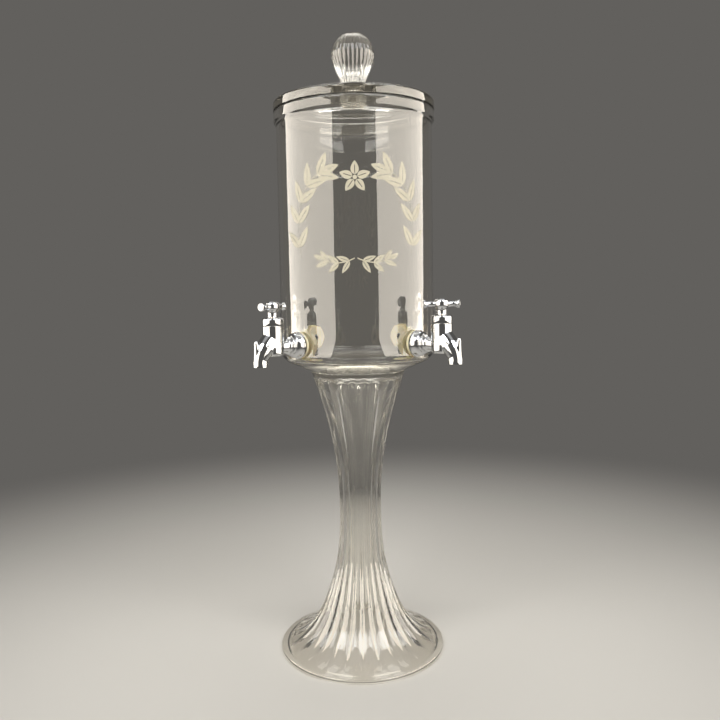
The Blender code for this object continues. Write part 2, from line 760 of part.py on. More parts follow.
def tap_waterway():
    """What is bored out of the casting: the spout, the tail and the chamber round the raised seat."""
    floor_z = SEAT_Z - SEAT_RING_HEIGHT
    chamber = turned_mesh(
        "chamber",
        [
            (0, BARREL_TOP_Z + OVERRUN),
            (CHAMBER_RADIUS, BARREL_TOP_Z + OVERRUN),
            (CHAMBER_RADIUS, floor_z),
            (SEAT_RING_RADIUS, floor_z),
            (SEAT_RING_RADIUS, SEAT_Z),
            (SEAT_BORE_RADIUS, SEAT_Z),
            (SEAT_BORE_RADIUS, TAP_AXIS_Z),
            (0, TAP_AXIS_Z),
        ],
        TAP_STEPS,
    )
    moved(chamber, (BARREL_X, 0, 0))
    tail = rod_mesh(
        "tail_bore",
        PASSAGE_RADIUS,
        SHANK_END_X - OVERRUN,
        BARREL_X + SEAT_BORE_RADIUS,
        SMALL_STEPS,
    )
    moved(tail, (0, 0, TAP_AXIS_Z))
    drop_share = 0.35
    start_x = BARREL_X + (CHAMBER_RADIUS + SEAT_RING_RADIUS) / 2
    path = spout_path(start_x, floor_z + OVERRUN, SPOUT_MOUTH_Z - OVERRUN, drop_share)
    radii = [PASSAGE_RADIUS] * (len(path) - 2) + [MOUTH_BORE_RADIUS] * 2
    outlet = tube_mesh("outlet_bore", path, radii, 1)
    return outlet, tail, chamber


def tap_body_mesh():
    steps = [("UNION", tap_inlet()), ("UNION", tap_spout()), ("UNION", tap_spur())]
    steps += [("DIFFERENCE", bore) for bore in tap_waterway()]
    return combined("tap_body", tap_barrel(), steps)


def outer_washer_mesh():
    """Flat against the flange, and hollowed to the bowl's outside."""
    hole = SHANK_RADIUS + SEAT_GAP
    far_x = FLANGE_X - SEAT_GAP
    corners = [
        (OUTER_WASHER_RADIUS, far_x),
        (OUTER_WASHER_RADIUS, BOWL_RADIUS - BOWL_WALL),
        (hole, BOWL_RADIUS - BOWL_WALL),
        (hole, far_x),
    ]
    ring = lying_mesh("outer_washer_blank", corners, TAP_STEPS, closed=True)
    moved(ring, (0, 0, TAP_AXIS_Z))
    reach = 2 * OUTER_WASHER_RADIUS
    glass = cylinder_mesh(
        "glass_outside", BOWL_RADIUS + SEAT_GAP, TAP_AXIS_Z - reach, TAP_AXIS_Z + reach, BOWL_STEPS
    )
    return combined("outer_washer", ring, [("DIFFERENCE", glass)])


def washer_face_x():
    """Where the inner washer's flat face lies: its rim has the washer's full thickness at the glass."""
    glass = BOWL_INNER_RADIUS - SEAT_GAP
    return math.sqrt(glass**2 - INNER_WASHER_RADIUS**2) - INNER_WASHER_THICKNESS


def inner_washer_mesh():
    """Flat against the nut, and rounded to the bowl's inside."""
    hole = SHANK_RADIUS + SEAT_GAP
    near_x = washer_face_x()
    corners = [
        (INNER_WASHER_RADIUS, BOWL_RADIUS),
        (INNER_WASHER_RADIUS, near_x),
        (hole, near_x),
        (hole, BOWL_RADIUS),
    ]
    ring = lying_mesh("inner_washer_blank", corners, TAP_STEPS, closed=True)
    moved(ring, (0, 0, TAP_AXIS_Z))
    reach = 2 * INNER_WASHER_RADIUS
    glass = cylinder_mesh(
        "glass_inside", BOWL_INNER_RADIUS - SEAT_GAP, TAP_AXIS_Z - reach, TAP_AXIS_Z + reach, BOWL_STEPS
    )
    return combined("inner_washer", ring, [("INTERSECT", glass)])


def lock_nut_mesh():
    high = washer_face_x() - SEAT_GAP
    low = high - NUT_THICKNESS
    corner_radius = NUT_ACROSS_FLATS / math.sqrt(3)
    profile = [
        (0, high),
        (corner_radius - NUT_CHAMFER, high),
        (corner_radius, high - NUT_CHAMFER),
        (corner_radius, low + NUT_CHAMFER),
        (corner_radius - NUT_CHAMFER, low),
        (0, low),
    ]
    hexagon = lying_mesh("lock_nut_blank", profile, 6)
    hexagon.shade_flat()
    hole = rod_mesh("nut_hole", SHANK_RADIUS + SEAT_GAP, low - OVERRUN, high + OVERRUN, TAP_STEPS)
    return moved(combined("lock_nut", hexagon, [("DIFFERENCE", hole)]), (0, 0, TAP_AXIS_Z))


# Tap pieces that are turned about the barrel's axis. Heights are the fountain's own.


def bonnet_mesh():
    """The screwed cap of the barrel, with a groove inside for the spindle's packing ring."""
    spigot_radius = CHAMBER_RADIUS - SEAT_GAP
    bore = SPINDLE_RADIUS + RUNNING_CLEARANCE
    groove_radius = bore + PACKING_WIDTH + SEAT_GAP
    profile = outline(
        [
            (bore, BONNET_TOP_Z),
            (BONNET_RADIUS, BONNET_TOP_Z, BONNET_TOP_ROUND),
            (BONNET_RADIUS, BONNET_Z),
            (spigot_radius, BONNET_Z),
            (spigot_radius, SPIGOT_Z),
            (bore, SPIGOT_Z),
            (bore, PACKING_Z - SEAT_GAP),
            (groove_radius, PACKING_Z - SEAT_GAP),
            (groove_radius, PACKING_Z + PACKING_HEIGHT + SEAT_GAP),
            (bore, PACKING_Z + PACKING_HEIGHT + SEAT_GAP),
        ],
        closed=True,
    )
    return turned_mesh("bonnet", profile, TAP_STEPS, closed=True)


def packing_mesh():
    inner = SPINDLE_RADIUS + RUNNING_CLEARANCE
    return ring_mesh("packing", inner, inner + PACKING_WIDTH, PACKING_Z, PACKING_Z + PACKING_HEIGHT)


def seat_washer_mesh():
    hole = JUMPER_STEM_RADIUS + SEAT_GAP
    top = SEAT_WASHER_Z + SEAT_WASHER_THICKNESS
    return ring_mesh("seat_washer", hole, SEAT_WASHER_RADIUS, SEAT_WASHER_Z, top)


def jumper_mesh():
    """A disc over the washer. Its stem goes down through the washer, and up into the spindle."""
    top = JUMPER_Z + JUMPER_THICKNESS
    profile = [
        (0, top + JUMPER_STEM_LENGTH),
        (JUMPER_STEM_RADIUS, top + JUMPER_STEM_LENGTH),
        (JUMPER_STEM_RADIUS, top),
        (JUMPER_RADIUS, top),
        (JUMPER_RADIUS, JUMPER_Z),
        (JUMPER_STEM_RADIUS, JUMPER_Z),
        (JUMPER_STEM_RADIUS, SEAT_WASHER_Z),
        (0, SEAT_WASHER_Z),
    ]
    return turned_mesh("jumper", profile, SMALL_STEPS)


def spindle_mesh():
    blank = turned_mesh(
        "spindle_blank",
        [
            (0, SPINDLE_TOP_Z),
            (SPINDLE_RADIUS, SPINDLE_TOP_Z),
            (SPINDLE_RADIUS, SPINDLE_COLLAR_TOP_Z),
            (SPINDLE_COLLAR_RADIUS, SPINDLE_COLLAR_TOP_Z),
            (SPINDLE_COLLAR_RADIUS, SPINDLE_TIP_Z),
            (JUMPER_STEM_RADIUS + RUNNING_CLEARANCE, SPINDLE_TIP_Z),
            (JUMPER_STEM_RADIUS + RUNNING_CLEARANCE, SPINDLE_TIP_Z + JUMPER_STEM_LENGTH),
            (0, SPINDLE_TIP_Z + JUMPER_STEM_LENGTH),
        ],
        SMALL_STEPS,
    )
    hole_end = SCREW_SEAT_Z - SCREW_LENGTH - SEAT_GAP
    hole_radius = SCREW_SHANK_RADIUS + SEAT_GAP
    tapped = cylinder_mesh("tapped_hole", hole_radius, hole_end, SPINDLE_TOP_Z + OVERRUN, SMALL_STEPS)
    return combined("spindle", blank, [("DIFFERENCE", tapped)])


def handle_bar():
    """The cross bar along X. Its two arms swell towards their ends."""
    flare_start = BAR_REACH - BAR_END_LENGTH
    slim_x = (HUB_RADIUS + flare_start) / 2
    arm = bezier_points(
        (BAR_END_RADIUS, flare_start),
        (BAR_NECK_RADIUS, slim_x),
        (BAR_NECK_RADIUS, slim_x),
        (BAR_NECK_RADIUS, HUB_RADIUS - HUB_TOP_ROUND),
        3,
    )
    end_round = BAR_END_LENGTH / 2
    end = [
        (0, BAR_REACH),
        (BAR_END_RADIUS - end_round, BAR_REACH),
        (BAR_END_RADIUS, BAR_REACH - end_round),
    ]
    half = end + arm
    bar = lying_mesh("bar", half + [(r, -x) for r, x in reversed(half)], SMALL_STEPS)
    return moved(bar, (0, 0, HUB_Z + HUB_HEIGHT / 2))


def handle_mesh():
    """A hub on a narrow boss, with a cross bar, and bored for the spindle and its screw."""
    hub = turned_mesh(
        "hub",
        outline(
            [
                (0, HUB_TOP_Z),
                (HUB_RADIUS, HUB_TOP_Z, HUB_TOP_ROUND, 2),
                (HUB_RADIUS, HUB_Z + HUB_TAPER),
                (HANDLE_BOSS_RADIUS, HUB_Z),
                (HANDLE_BOSS_RADIUS, HANDLE_Z),
                (0, HANDLE_Z),
            ]
        ),
        TAP_STEPS,
    )
    bore = SPINDLE_RADIUS + SEAT_GAP
    head_bore = SCREW_HEAD_RADIUS + SEAT_GAP
    shank_bore = SCREW_SHANK_RADIUS + SEAT_GAP
    socket_top = SPINDLE_TOP_Z + SEAT_GAP
    hole = turned_mesh(
        "handle_hole",
        [
            (0, HUB_TOP_Z + OVERRUN),
            (head_bore, HUB_TOP_Z + OVERRUN),
            (head_bore, SCREW_SEAT_Z),
            (shank_bore, SCREW_SEAT_Z),
            (shank_bore, socket_top),
            (bore, socket_top),
            (bore, HANDLE_Z - OVERRUN),
            (0, HANDLE_Z - OVERRUN),
        ],
        SMALL_STEPS,
    )
    return combined("handle", hub, [("UNION", handle_bar()), ("DIFFERENCE", hole)])


def handle_screw_mesh():
    head_z = SCREW_SEAT_Z + SEAT_GAP
    return turned_mesh(
        "handle_screw",
        [
            (0, head_z + SCREW_HEAD_HEIGHT),
            (SCREW_HEAD_RADIUS, head_z + SCREW_HEAD_HEIGHT),
            (SCREW_HEAD_RADIUS, head_z),
            (SCREW_SHANK_RADIUS, head_z),
            (SCREW_SHANK_RADIUS, head_z - SCREW_LENGTH),
            (0, head_z - SCREW_LENGTH),
        ],
        SMALL_STEPS,
    )


# Assembly


def add_part(name, mesh, material, parent=None, location=(0, 0, 0), turn=0):
    """A named piece of the fountain. Copies of a piece share one mesh."""
    obj = put_in(PARTS, name, mesh, material)
    obj.parent = parent
    obj.location = location
    obj.rotation_euler = (0, 0, math.radians(turn))
    return obj


def add_tap(side, azimuth, meshes):
    """One tap on its own empty, which turns it to its place round the bowl."""
    frame = bpy.data.objects.new("tap_" + side, None)
    PARTS.objects.link(frame)
    frame.rotation_euler = (0, 0, math.radians(azimuth))
    fixed = (
        ("tap_body", CHROME),
        ("outer_washer", SILICONE),
        ("inner_washer", SILICONE),
        ("lock_nut", NYLON),
    )
    for piece, material in fixed:
        add_part(f"{piece}_{side}", meshes[piece], material, frame)
    on_axis = (
        ("bonnet", CHROME),
        ("packing", RUBBER),
        ("jumper", BRASS),
        ("seat_washer", RUBBER),
        ("spindle", BRASS),
        ("handle", CHROME),
        ("handle_screw", CHROME),
    )
    for piece, material in on_axis:
        turn = HANDLE_TURNS[side] if piece.startswith("handle") else 0
        add_part(f"{piece}_{side}", meshes[piece], material, frame, (BARREL_X, 0, 0), turn)


def build():
    add_part("pedestal", pedestal_mesh(), GLASS)
    add_part("bowl", bowl_mesh(), GLASS)
    add_part("lid", lid_mesh(), GLASS)
    add_part("lid_knob", knob_mesh(), GLASS)
    meshes = {
        "tap_body": tap_body_mesh(),
        "outer_washer": outer_washer_mesh(),
        "inner_washer": inner_washer_mesh(),
        "lock_nut": lock_nut_mesh(),
        "bonnet": bonnet_mesh(),
        "packing": packing_mesh(),
        "jumper": jumper_mesh(),
        "seat_washer": seat_washer_mesh(),
        "spindle": spindle_mesh(),
        "handle": handle_mesh(),
        "handle_screw": handle_screw_mesh(),
    }
    for side, azimuth in TAP_AZIMUTHS.items():
        add_tap(side, azimuth, meshes)


build()
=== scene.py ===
# %% [markdown]
# # Absinthe fountain
#
# A glass cylinder with a lid stands on a hollow ribbed glass foot, and four small chrome taps go round its
# base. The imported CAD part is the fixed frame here. It already has every piece at its real size, with few
# facets. This script gives the visible pieces their fine shapes and all of them their finishes, then lights
# the table.

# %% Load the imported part
import math

import bmesh
import bpy
from mathutils import Euler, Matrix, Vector
from mathutils.geometry import interpolate_bezier


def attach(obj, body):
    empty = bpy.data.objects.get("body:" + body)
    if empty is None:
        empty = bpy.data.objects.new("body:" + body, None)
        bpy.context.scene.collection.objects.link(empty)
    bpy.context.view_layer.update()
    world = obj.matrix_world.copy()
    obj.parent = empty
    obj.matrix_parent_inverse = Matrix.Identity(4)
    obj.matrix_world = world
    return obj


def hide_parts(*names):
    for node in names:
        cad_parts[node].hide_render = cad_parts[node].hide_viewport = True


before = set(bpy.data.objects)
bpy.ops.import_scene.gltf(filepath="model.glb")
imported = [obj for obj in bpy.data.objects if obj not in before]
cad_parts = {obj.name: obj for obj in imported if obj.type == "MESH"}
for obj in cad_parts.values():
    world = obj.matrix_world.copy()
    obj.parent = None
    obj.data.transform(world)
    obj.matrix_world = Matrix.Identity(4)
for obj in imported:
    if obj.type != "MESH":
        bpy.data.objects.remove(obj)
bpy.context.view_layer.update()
MM = 0.001
AXIS = (0, 0, 0)

# %% [markdown]
# ## Working as by hand
#
# Almost every piece of the fountain is turned: glass is blown or pressed in a round mould, and the taps
# come off a lathe. So most pieces start as a line of points, which is one half of the piece seen from the
# side. The line could be typed in as a mesh, or drawn with curves. Here a vertex is extruded from corner to
# corner, because then each corner can be rounded with the bevel tool at the radius of the real edge, before
# the line is spun.

# %% Selecting and finishing
SAME_POINT = 0.002  # mm between points that are merged
SMOOTH_BELOW = 32  # degrees between faces that are shaded as one surface


def only(obj):
    """Leave every piece alone but this one."""
    if bpy.context.mode != "OBJECT":
        bpy.ops.object.mode_set(mode="OBJECT")
    bpy.ops.object.select_all(action="DESELECT")
    obj.select_set(True)
    bpy.context.view_layer.objects.active = obj
    return obj


def edit(obj):
    """Go into edit mode with every vertex selected."""
    only(obj)
    bpy.ops.object.mode_set(mode="EDIT")
    bpy.ops.mesh.select_mode(type="VERT")
    bpy.ops.mesh.select_all(action="SELECT")
    return obj


def select(obj, wanted):
    """In edit mode, select the vertices that pass the test."""
    shape = bmesh.from_edit_mesh(obj.data)
    for vertex in shape.verts:
        vertex.select = wanted(vertex)
    shape.select_flush_mode()
    bmesh.update_edit_mesh(obj.data)


def pick(obj, wanted):
    """In edit mode, select the vertices whose place passes the test."""
    select(obj, lambda vertex: wanted(vertex.co))


def close_up(obj):
    """Merge what coincides, turn the faces outwards and go back to object mode."""
    bpy.ops.mesh.select_all(action="SELECT")
    bpy.ops.mesh.remove_doubles(threshold=SAME_POINT * MM)
    bpy.ops.mesh.normals_make_consistent(inside=False)
    bpy.ops.object.mode_set(mode="OBJECT")
    return obj


def soften(obj, angle=SMOOTH_BELOW):
    """Shade a piece smooth, and keep the edges that turn more than the angle."""
    only(obj)
    bpy.ops.object.shade_smooth_by_angle(angle=math.radians(angle))
    return obj


def apply_modifier(obj, kind, **settings):
    """Add a modifier of this kind with these settings, and apply it."""
    only(obj)
    modifier = obj.modifiers.new(kind.lower(), kind)
    for name, value in settings.items():
        setattr(modifier, name, value)
    bpy.ops.object.modifier_apply(modifier=modifier.name)
    return obj


def combine(obj, tool, operation):
    """Join, cut or intersect with a closed tool, which is used up."""
    apply_modifier(obj, "BOOLEAN", object=tool, operation=operation, solver="EXACT")
    bpy.data.objects.remove(tool)
    return obj


def report(obj):
    """Print what a piece has become."""
    size = [round(d / MM, 1) for d in obj.dimensions]
    print(obj.name, "is", size, "mm with", len(obj.data.polygons), "faces")
    return obj


# %% Drawing half a piece and spinning it
def curve(start, handle_a, handle_b, end, steps):
    """Points along a Bezier curve, after its start, in mm."""
    corners = [Vector((x, z, 0)) for x, z in (start, handle_a, handle_b, end)]
    return [(p.x, p.y) for p in interpolate_bezier(*corners, steps + 1)[1:]]


def sketch(name, points, rounds=()):
    """A line of (radius, height) points in mm.

    rounds lists (radius, height, rounding, segments) for the corners that are rounded.
    """
    bpy.ops.object.select_all(action="DESELECT")
    start = (points[0][0] * MM, 0, points[0][1] * MM)
    bpy.ops.mesh.primitive_plane_add(size=MM, location=start)
    obj = bpy.context.object
    obj.name = obj.data.name = name
    bpy.ops.object.transform_apply()
    edit(obj)
    bpy.ops.mesh.merge(type="CENTER")
    for here, there in zip(points, points[1:]):
        step = ((there[0] - here[0]) * MM, 0, (there[1] - here[1]) * MM)
        bpy.ops.mesh.extrude_vertices_move(TRANSFORM_OT_translate={"value": step})
    for radius, height, rounding, segments in rounds:
        corner = Vector((radius * MM, 0, height * MM))
        pick(obj, lambda place: (place - corner).length < 0.01 * MM)
        bpy.ops.mesh.bevel(offset=rounding * MM, segments=segments, affect="VERTICES")
    return obj


def spin(obj, steps, ring=False):
    """Spin the line round Z. A ring's line is closed first."""
    if ring:
        select(obj, lambda vertex: len(vertex.link_edges) == 1)
        bpy.ops.mesh.edge_face_add()
    bpy.ops.mesh.select_all(action="SELECT")
    bpy.ops.mesh.spin(steps=steps, angle=math.tau, center=AXIS, axis=(0, 0, 1))
    return close_up(obj)


def turned(name, points, steps, rounds=(), ring=False):
    """A whole lathe-turned piece from its half outline."""
    return soften(spin(sketch(name, points, rounds), steps, ring))


def turn_object(obj, x=0, y=0, z=0):
    """Turn a piece about the origin, in degrees, and write the turn into its mesh."""
    only(obj)
    obj.rotation_euler = (math.radians(x), math.radians(y), math.radians(z))
    bpy.ops.object.transform_apply(location=True, rotation=True, scale=True)
    return obj


def move_object(obj, x=0, y=0, z=0):
    """Move a piece, in mm, and write the move into its mesh."""
    only(obj)
    obj.location = (x * MM, y * MM, z * MM)
    bpy.ops.object.transform_apply(location=True, rotation=True, scale=True)
    return obj


# %% [markdown]
# ## Ribbed glass
#
# The foot and the knob have 24 ribs each. Each rib is a rounded bulge with a sharp crease on both sides, as
# the mould's flutes leave it. The ribs could be carved into a full round, one by one. It is simpler to
# model one slice, 15 degrees wide: an arc is extruded down the profile ring by ring, its edges are sunk to
# make the creases, and the slice is then repeated 24 times about the axis.

# %% One slice of a ribbed piece
RIBS = 24
RIB_FACETS = 10
SLICE = 360 / RIBS
CREASE_SHARPNESS = 1.6  # above 1 the crease gets narrower and the rib between two creases flatter


def grow_slice(name, rings):
    """An arc at the first (radius, height) in mm, extruded through the others."""
    bpy.ops.object.select_all(action="DESELECT")
    radius, height = rings[0]
    bpy.ops.mesh.primitive_circle_add(
        vertices=RIBS * RIB_FACETS, radius=radius * MM, location=(0, 0, height * MM)
    )
    obj = bpy.context.object
    obj.name = obj.data.name = name
    bpy.ops.object.transform_apply()
    edit(obj)
    pick(obj, lambda p: not -0.01 < math.degrees(math.atan2(p.y, p.x)) < SLICE + 0.01)
    bpy.ops.mesh.delete(type="VERT")
    bpy.ops.mesh.select_all(action="SELECT")
    for (r0, z0), (r1, z1) in zip(rings, rings[1:]):
        bpy.ops.mesh.extrude_edges_move(TRANSFORM_OT_translate={"value": (0, 0, (z1 - z0) * MM)})
        grow = r1 / r0
        bpy.ops.transform.resize(value=(grow, grow, 1), center_override=(0, 0, z1 * MM))
    return obj


def sink_creases(obj, creases):
    """creases lists (radius, height, depth, normal) of rings in mm: each is pushed in between its ribs."""
    rings_at = [(radius * MM, height * MM) for radius, height, _, _ in creases]
    shape = bmesh.from_edit_mesh(obj.data)
    chosen = {}
    for vertex in shape.verts:
        x, y, z = vertex.co
        gaps = [math.dist(ring, (math.hypot(x, y), z)) for ring in rings_at]
        step = round(math.degrees(math.atan2(y, x)) / SLICE * RIB_FACETS)
        if min(gaps) < 0.02 * MM:
            key = (gaps.index(min(gaps)), min(step, RIB_FACETS - step))
            chosen.setdefault(key, set()).add(vertex.index)
    for (ring, step), indices in chosen.items():
        radius, _, depth, normal = creases[ring]
        sink = depth * (1 - math.sin(math.pi * step / RIB_FACETS)) ** CREASE_SHARPNESS
        select(obj, lambda vertex: vertex.index in indices)
        shrink = 1 - sink * normal[0] / radius
        bpy.ops.transform.resize(value=(shrink, shrink, 1), center_override=AXIS)
        bpy.ops.transform.translate(value=(0, 0, -sink * normal[1] * MM))


def repeat_slice(obj):
    """24 slices round the axis, merged, with the round holes at their poles filled."""
    bpy.ops.mesh.select_all(action="SELECT")
    bpy.ops.mesh.spin(
        steps=RIBS - 1, angle=math.radians(360 - SLICE), dupli=True, center=AXIS, axis=(0, 0, 1)
    )
    bpy.ops.mesh.select_all(action="SELECT")
    bpy.ops.mesh.remove_doubles(threshold=SAME_POINT * MM)
    bpy.ops.mesh.select_all(action="SELECT")
    bpy.ops.mesh.fill_holes(sides=0)
    return close_up(obj)


def normals_along(points):
    """The outward normal at each point of a line that runs down a piece's outside."""
    normals = []
    for i in range(len(points)):
        before = Vector(points[max(i - 1, 0)])
        after = Vector(points[min(i + 1, len(points) - 1)])
        along = (after - before).normalized()
        normals.append((-along.y, along.x))
    return normals


# %% [markdown]
# ## The pedestal
#
# The foot is one piece of pressed glass, shaped like a trumpet that stands on its bell. It is hollow from
# below, about 4 mm thick, and smooth inside, so each outside rib works as a lens and draws a bright line
# down the stem. The rib heads end under a plain collar, and the ribs run out on the flat of the foot.

# %% Pedestal: the outside line
COLLAR_RADIUS = 40.5
PEDESTAL_TOP = 245.8
WAIST = (18.0, 125.0)
FLARE = (33.0, 38.9)
FOOT_RADIUS = 71.6
FOOT_EDGE = (70.4, 4.2)
WALL = 4.0
COLLAR = 5.0
RIB_HEAD = 4.4
RIB_DEPTH_SHARE = 0.17
RIB_DEPTH_MOST = 1.6
RIBS_FADE = (53.0, 65.9)

horn = [(COLLAR_RADIUS, PEDESTAL_TOP)]
horn += curve(horn[0], (26.8, 205.9), (18.0, 174.5), WAIST, 20)
horn += curve(WAIST, (18.0, 89.7), (21.6, 69.0), FLARE, 14)
horn += curve(FLARE, (39.7, 22.9), (51.0, 8.7), FOOT_EDGE, 16)


def radius_at(height):
    """The trumpet's outside radius at a height, in mm."""
    for (r0, z0), (r1, z1) in zip(horn, horn[1:]):
        if z0 >= height >= z1:
            return r0 + (r1 - r0) * (z0 - height) / (z0 - z1)
    return FOOT_EDGE[0]


rib_top = PEDESTAL_TOP - COLLAR
head_heights = [rib_top - RIB_HEAD * share for share in (0, 0.04, 0.12, 0.25, 0.45, 0.7, 1)]
heads = [(radius_at(height), height) for height in head_heights]
stem = [point for point in horn if point[1] < head_heights[-1] - 1]
print("pedestal's outside has", len(heads + stem), "ribbed rings")


# %% Pedestal: how deep each crease is
def rib_depth(radius, height):
    """It grows fast below the rib heads, follows the rib's width, and fades to nothing on the foot."""
    width = math.tau * radius / RIBS
    head = min(1, max(0, (rib_top - height) / RIB_HEAD) ** 0.5)
    foot = min(1, max(0, (RIBS_FADE[1] - radius) / (RIBS_FADE[1] - RIBS_FADE[0])))
    return min(RIB_DEPTH_SHARE * width, RIB_DEPTH_MOST) * head * foot


outside = heads + stem
INSIDE_LOW, INSIDE_HIGH, INSIDE_REACH = 2.1, 239.3, 63.5  # up to here the inside follows the outside
LAND_INNER = 65.6
CEILING = 243.3
inside = [(r - WALL * n[0], z - WALL * n[1]) for (r, z), n in zip(stem, normals_along(stem))]
inside = [(r, z) for r, z in inside if INSIDE_LOW < z < INSIDE_HIGH and r < INSIDE_REACH]

# %% Pedestal: one slice, then all of it
rings = [(39.0, PEDESTAL_TOP), (40.0, PEDESTAL_TOP), (40.4, 245.6), (COLLAR_RADIUS - 0.1, 245.2)]
rings += outside
rings += [(71.1, 3.95), (71.5, 3.5), (FOOT_RADIUS, 3.0), (FOOT_RADIUS, 0.6), (71.4, 0.2), (71.0, 0)]
rings += [(LAND_INNER + 0.6, 0), (LAND_INNER + 0.2, 0.15), (LAND_INNER, 0.5)]
rings += reversed(inside)
rings += [(33.9, 240.6), (33.5, 241.7), (32.7, 242.7), (31.5, 243.2), (30.0, CEILING), (20.0, CEILING)]
pedestal = grow_slice("pedestal_glass", rings)
slopes = dict(zip(outside, normals_along(outside)))
creases = [(r, z, rib_depth(r, z), slopes[(r, z)]) for r, z in outside]
sink_creases(pedestal, [crease for crease in creases if crease[2] > 0.001])
report(soften(repeat_slice(pedestal), 40))

# %% [markdown]
# ## The reservoir
#
# The bowl is a cylinder of clear glass with a thick bottom that slopes up to the wall, and a thickened bead
# at the rim. It could be a tube with a disc under it, but real glass has no seam there, so one line runs
# from the middle of the floor, over the rim and back to the middle of the underside. Four holes let the
# taps through.

# %% Bowl
GLASS_STEPS = 144
BOWL_RADIUS = 65.0
BOWL_INNER = 61.0
BOWL_FLOOR = 256.7
BOWL_BOTTOM = 246.1
BOTTOM_RADIUS = 41.5
WALL_START = 256.9
BOWL_TOP = 460.3
BEAD_RADIUS = 66.9
BEAD_LOW = 453.5
TAP_AXIS = 271.1
HOLE_RADIUS = 6.3
SIDES = {"front_left": -135, "front_right": -45, "back_right": 45, "back_left": 135}

bead_taper = curve(
    (BEAD_RADIUS, BEAD_LOW), (BEAD_RADIUS, 451.7), (BOWL_RADIUS, 451.4), (BOWL_RADIUS, 447.5), 12
)
bowl = sketch(
    "bowl_glass",
    [
        (0, BOWL_FLOOR),
        (BOWL_INNER, BOWL_FLOOR),
        (BOWL_INNER, BOWL_TOP),
        (BEAD_RADIUS, BOWL_TOP),
        (BEAD_RADIUS, BEAD_LOW),
        *bead_taper,
        (BOWL_RADIUS, WALL_START),
        (BOTTOM_RADIUS, BOWL_BOTTOM),
        (0, BOWL_BOTTOM),
    ],
    [
        (BOWL_INNER, BOWL_FLOOR, 3.6, 8),
        (BOWL_INNER, BOWL_TOP, 1.2, 4),
        (BEAD_RADIUS, BOWL_TOP, 1.6, 5),
        (BOWL_RADIUS, WALL_START, 5.5, 8),
        (BOTTOM_RADIUS, BOWL_BOTTOM, 0.8, 3),
    ],
)
spin(bowl, GLASS_STEPS)
for side, azimuth in SIDES.items():
    drill = turned("drill", [(0, 75), (HOLE_RADIUS, 75), (HOLE_RADIUS, 55), (0, 55)], 48)
    turn_object(drill, y=90)
    move_object(drill, z=TAP_AXIS)
    combine(bowl, turn_object(drill, z=azimuth), "DIFFERENCE")
report(soften(bowl))

# %% [markdown]
# ## The lid
#
# The lid is pressed glass too. Its flange rests on the bead, a skirt hangs inside the bowl and keeps it
# from sliding off, and a low crown rises to the boss that carries the knob.

# %% Lid
FLANGE_TOP = 468.3
LID_SEAT = 460.6
SKIRT_OUTER = 60.0
SKIRT_INNER = 55.5
SKIRT_END = 449.9
BOSS_TOP = 476.3
BOSS_RADIUS = 15.5
SOCKET_RADIUS, SOCKET_FLOOR = 6.3, 473.5
CROWN_TOP, CROWN_UNDER = 474.3, 469.3
CROWN_BEND = 35.5
ROOF_EDGE = 463.3

crown = curve(
    (BOSS_RADIUS, CROWN_TOP), (CROWN_BEND, CROWN_TOP), (CROWN_BEND, FLANGE_TOP), (SKIRT_INNER, FLANGE_TOP), 14
)
ceiling = curve(
    (SKIRT_INNER, ROOF_EDGE),
    (CROWN_BEND, ROOF_EDGE),
    (CROWN_BEND, CROWN_UNDER),
    (BOSS_RADIUS, CROWN_UNDER),
    12,
)
lid = turned(
    "lid_glass",
    [
        (0, SOCKET_FLOOR),
        (SOCKET_RADIUS, SOCKET_FLOOR),
        (SOCKET_RADIUS, BOSS_TOP),
        (13.5, BOSS_TOP),
        (BOSS_RADIUS, CROWN_TOP),
        *crown,
        (BEAD_RADIUS, FLANGE_TOP),
        (BEAD_RADIUS, LID_SEAT),
        (SKIRT_OUTER, LID_SEAT),
        (SKIRT_OUTER, SKIRT_END),
        (SKIRT_INNER, SKIRT_END),
        (SKIRT_INNER, ROOF_EDGE),
        *ceiling,
        (0, CROWN_UNDER),
    ],
    GLASS_STEPS,
    [
        (13.5, BOSS_TOP, 0.9, 4),
        (BEAD_RADIUS, FLANGE_TOP, 1.8, 6),
        (BEAD_RADIUS, LID_SEAT, 0.9, 4),
        (SKIRT_OUTER, SKIRT_END, 0.9, 4),
        (SKIRT_INNER, SKIRT_END, 0.9, 4),
    ],
)
report(lid)

# %% [markdown]
# ## The knob
#
# A solid ball of glass on a slim neck, with the same ribs as the foot. It is made the same way: one slice
# from the top pole down to the stub that is bonded into the lid's boss.

# %% Knob
KNOB_RADIUS = 17.8
KNOB_BASE = 476.6
KNOB_CENTRE = 507.1
KNOB_TOP = 524.9
NECK = (9.2, 480.7)
KNOB_RIB_DEPTH = 0.6

ball = curve((0, KNOB_TOP), (9.83, KNOB_TOP), (KNOB_RADIUS, 516.93), (KNOB_RADIUS, KNOB_CENTRE), 14)
ball += curve((KNOB_RADIUS, KNOB_CENTRE), (KNOB_RADIUS, 499.2), (9.2, 487.6), NECK, 14)
knob_foot = [(9.35, 479.4), (9.8, 478.3), (10.6, 477.5), (11.1, 477.15), (11.2, 476.9), (11.1, KNOB_BASE)]
stub = [(6.0, KNOB_BASE), (6.0, 474.3), (5.8, 474.1), (4.0, 474.1)]
knob = grow_slice("lid_knob_glass", [(0.5, KNOB_TOP - 0.01), *ball, *knob_foot, *stub])
slopes = normals_along(ball)
creases = [(r, z, KNOB_RIB_DEPTH * min(1, r / 10), n) for (r, z), n in zip(ball, slopes)]
sink_creases(knob, creases)
report(soften(repeat_slice(knob), 28))

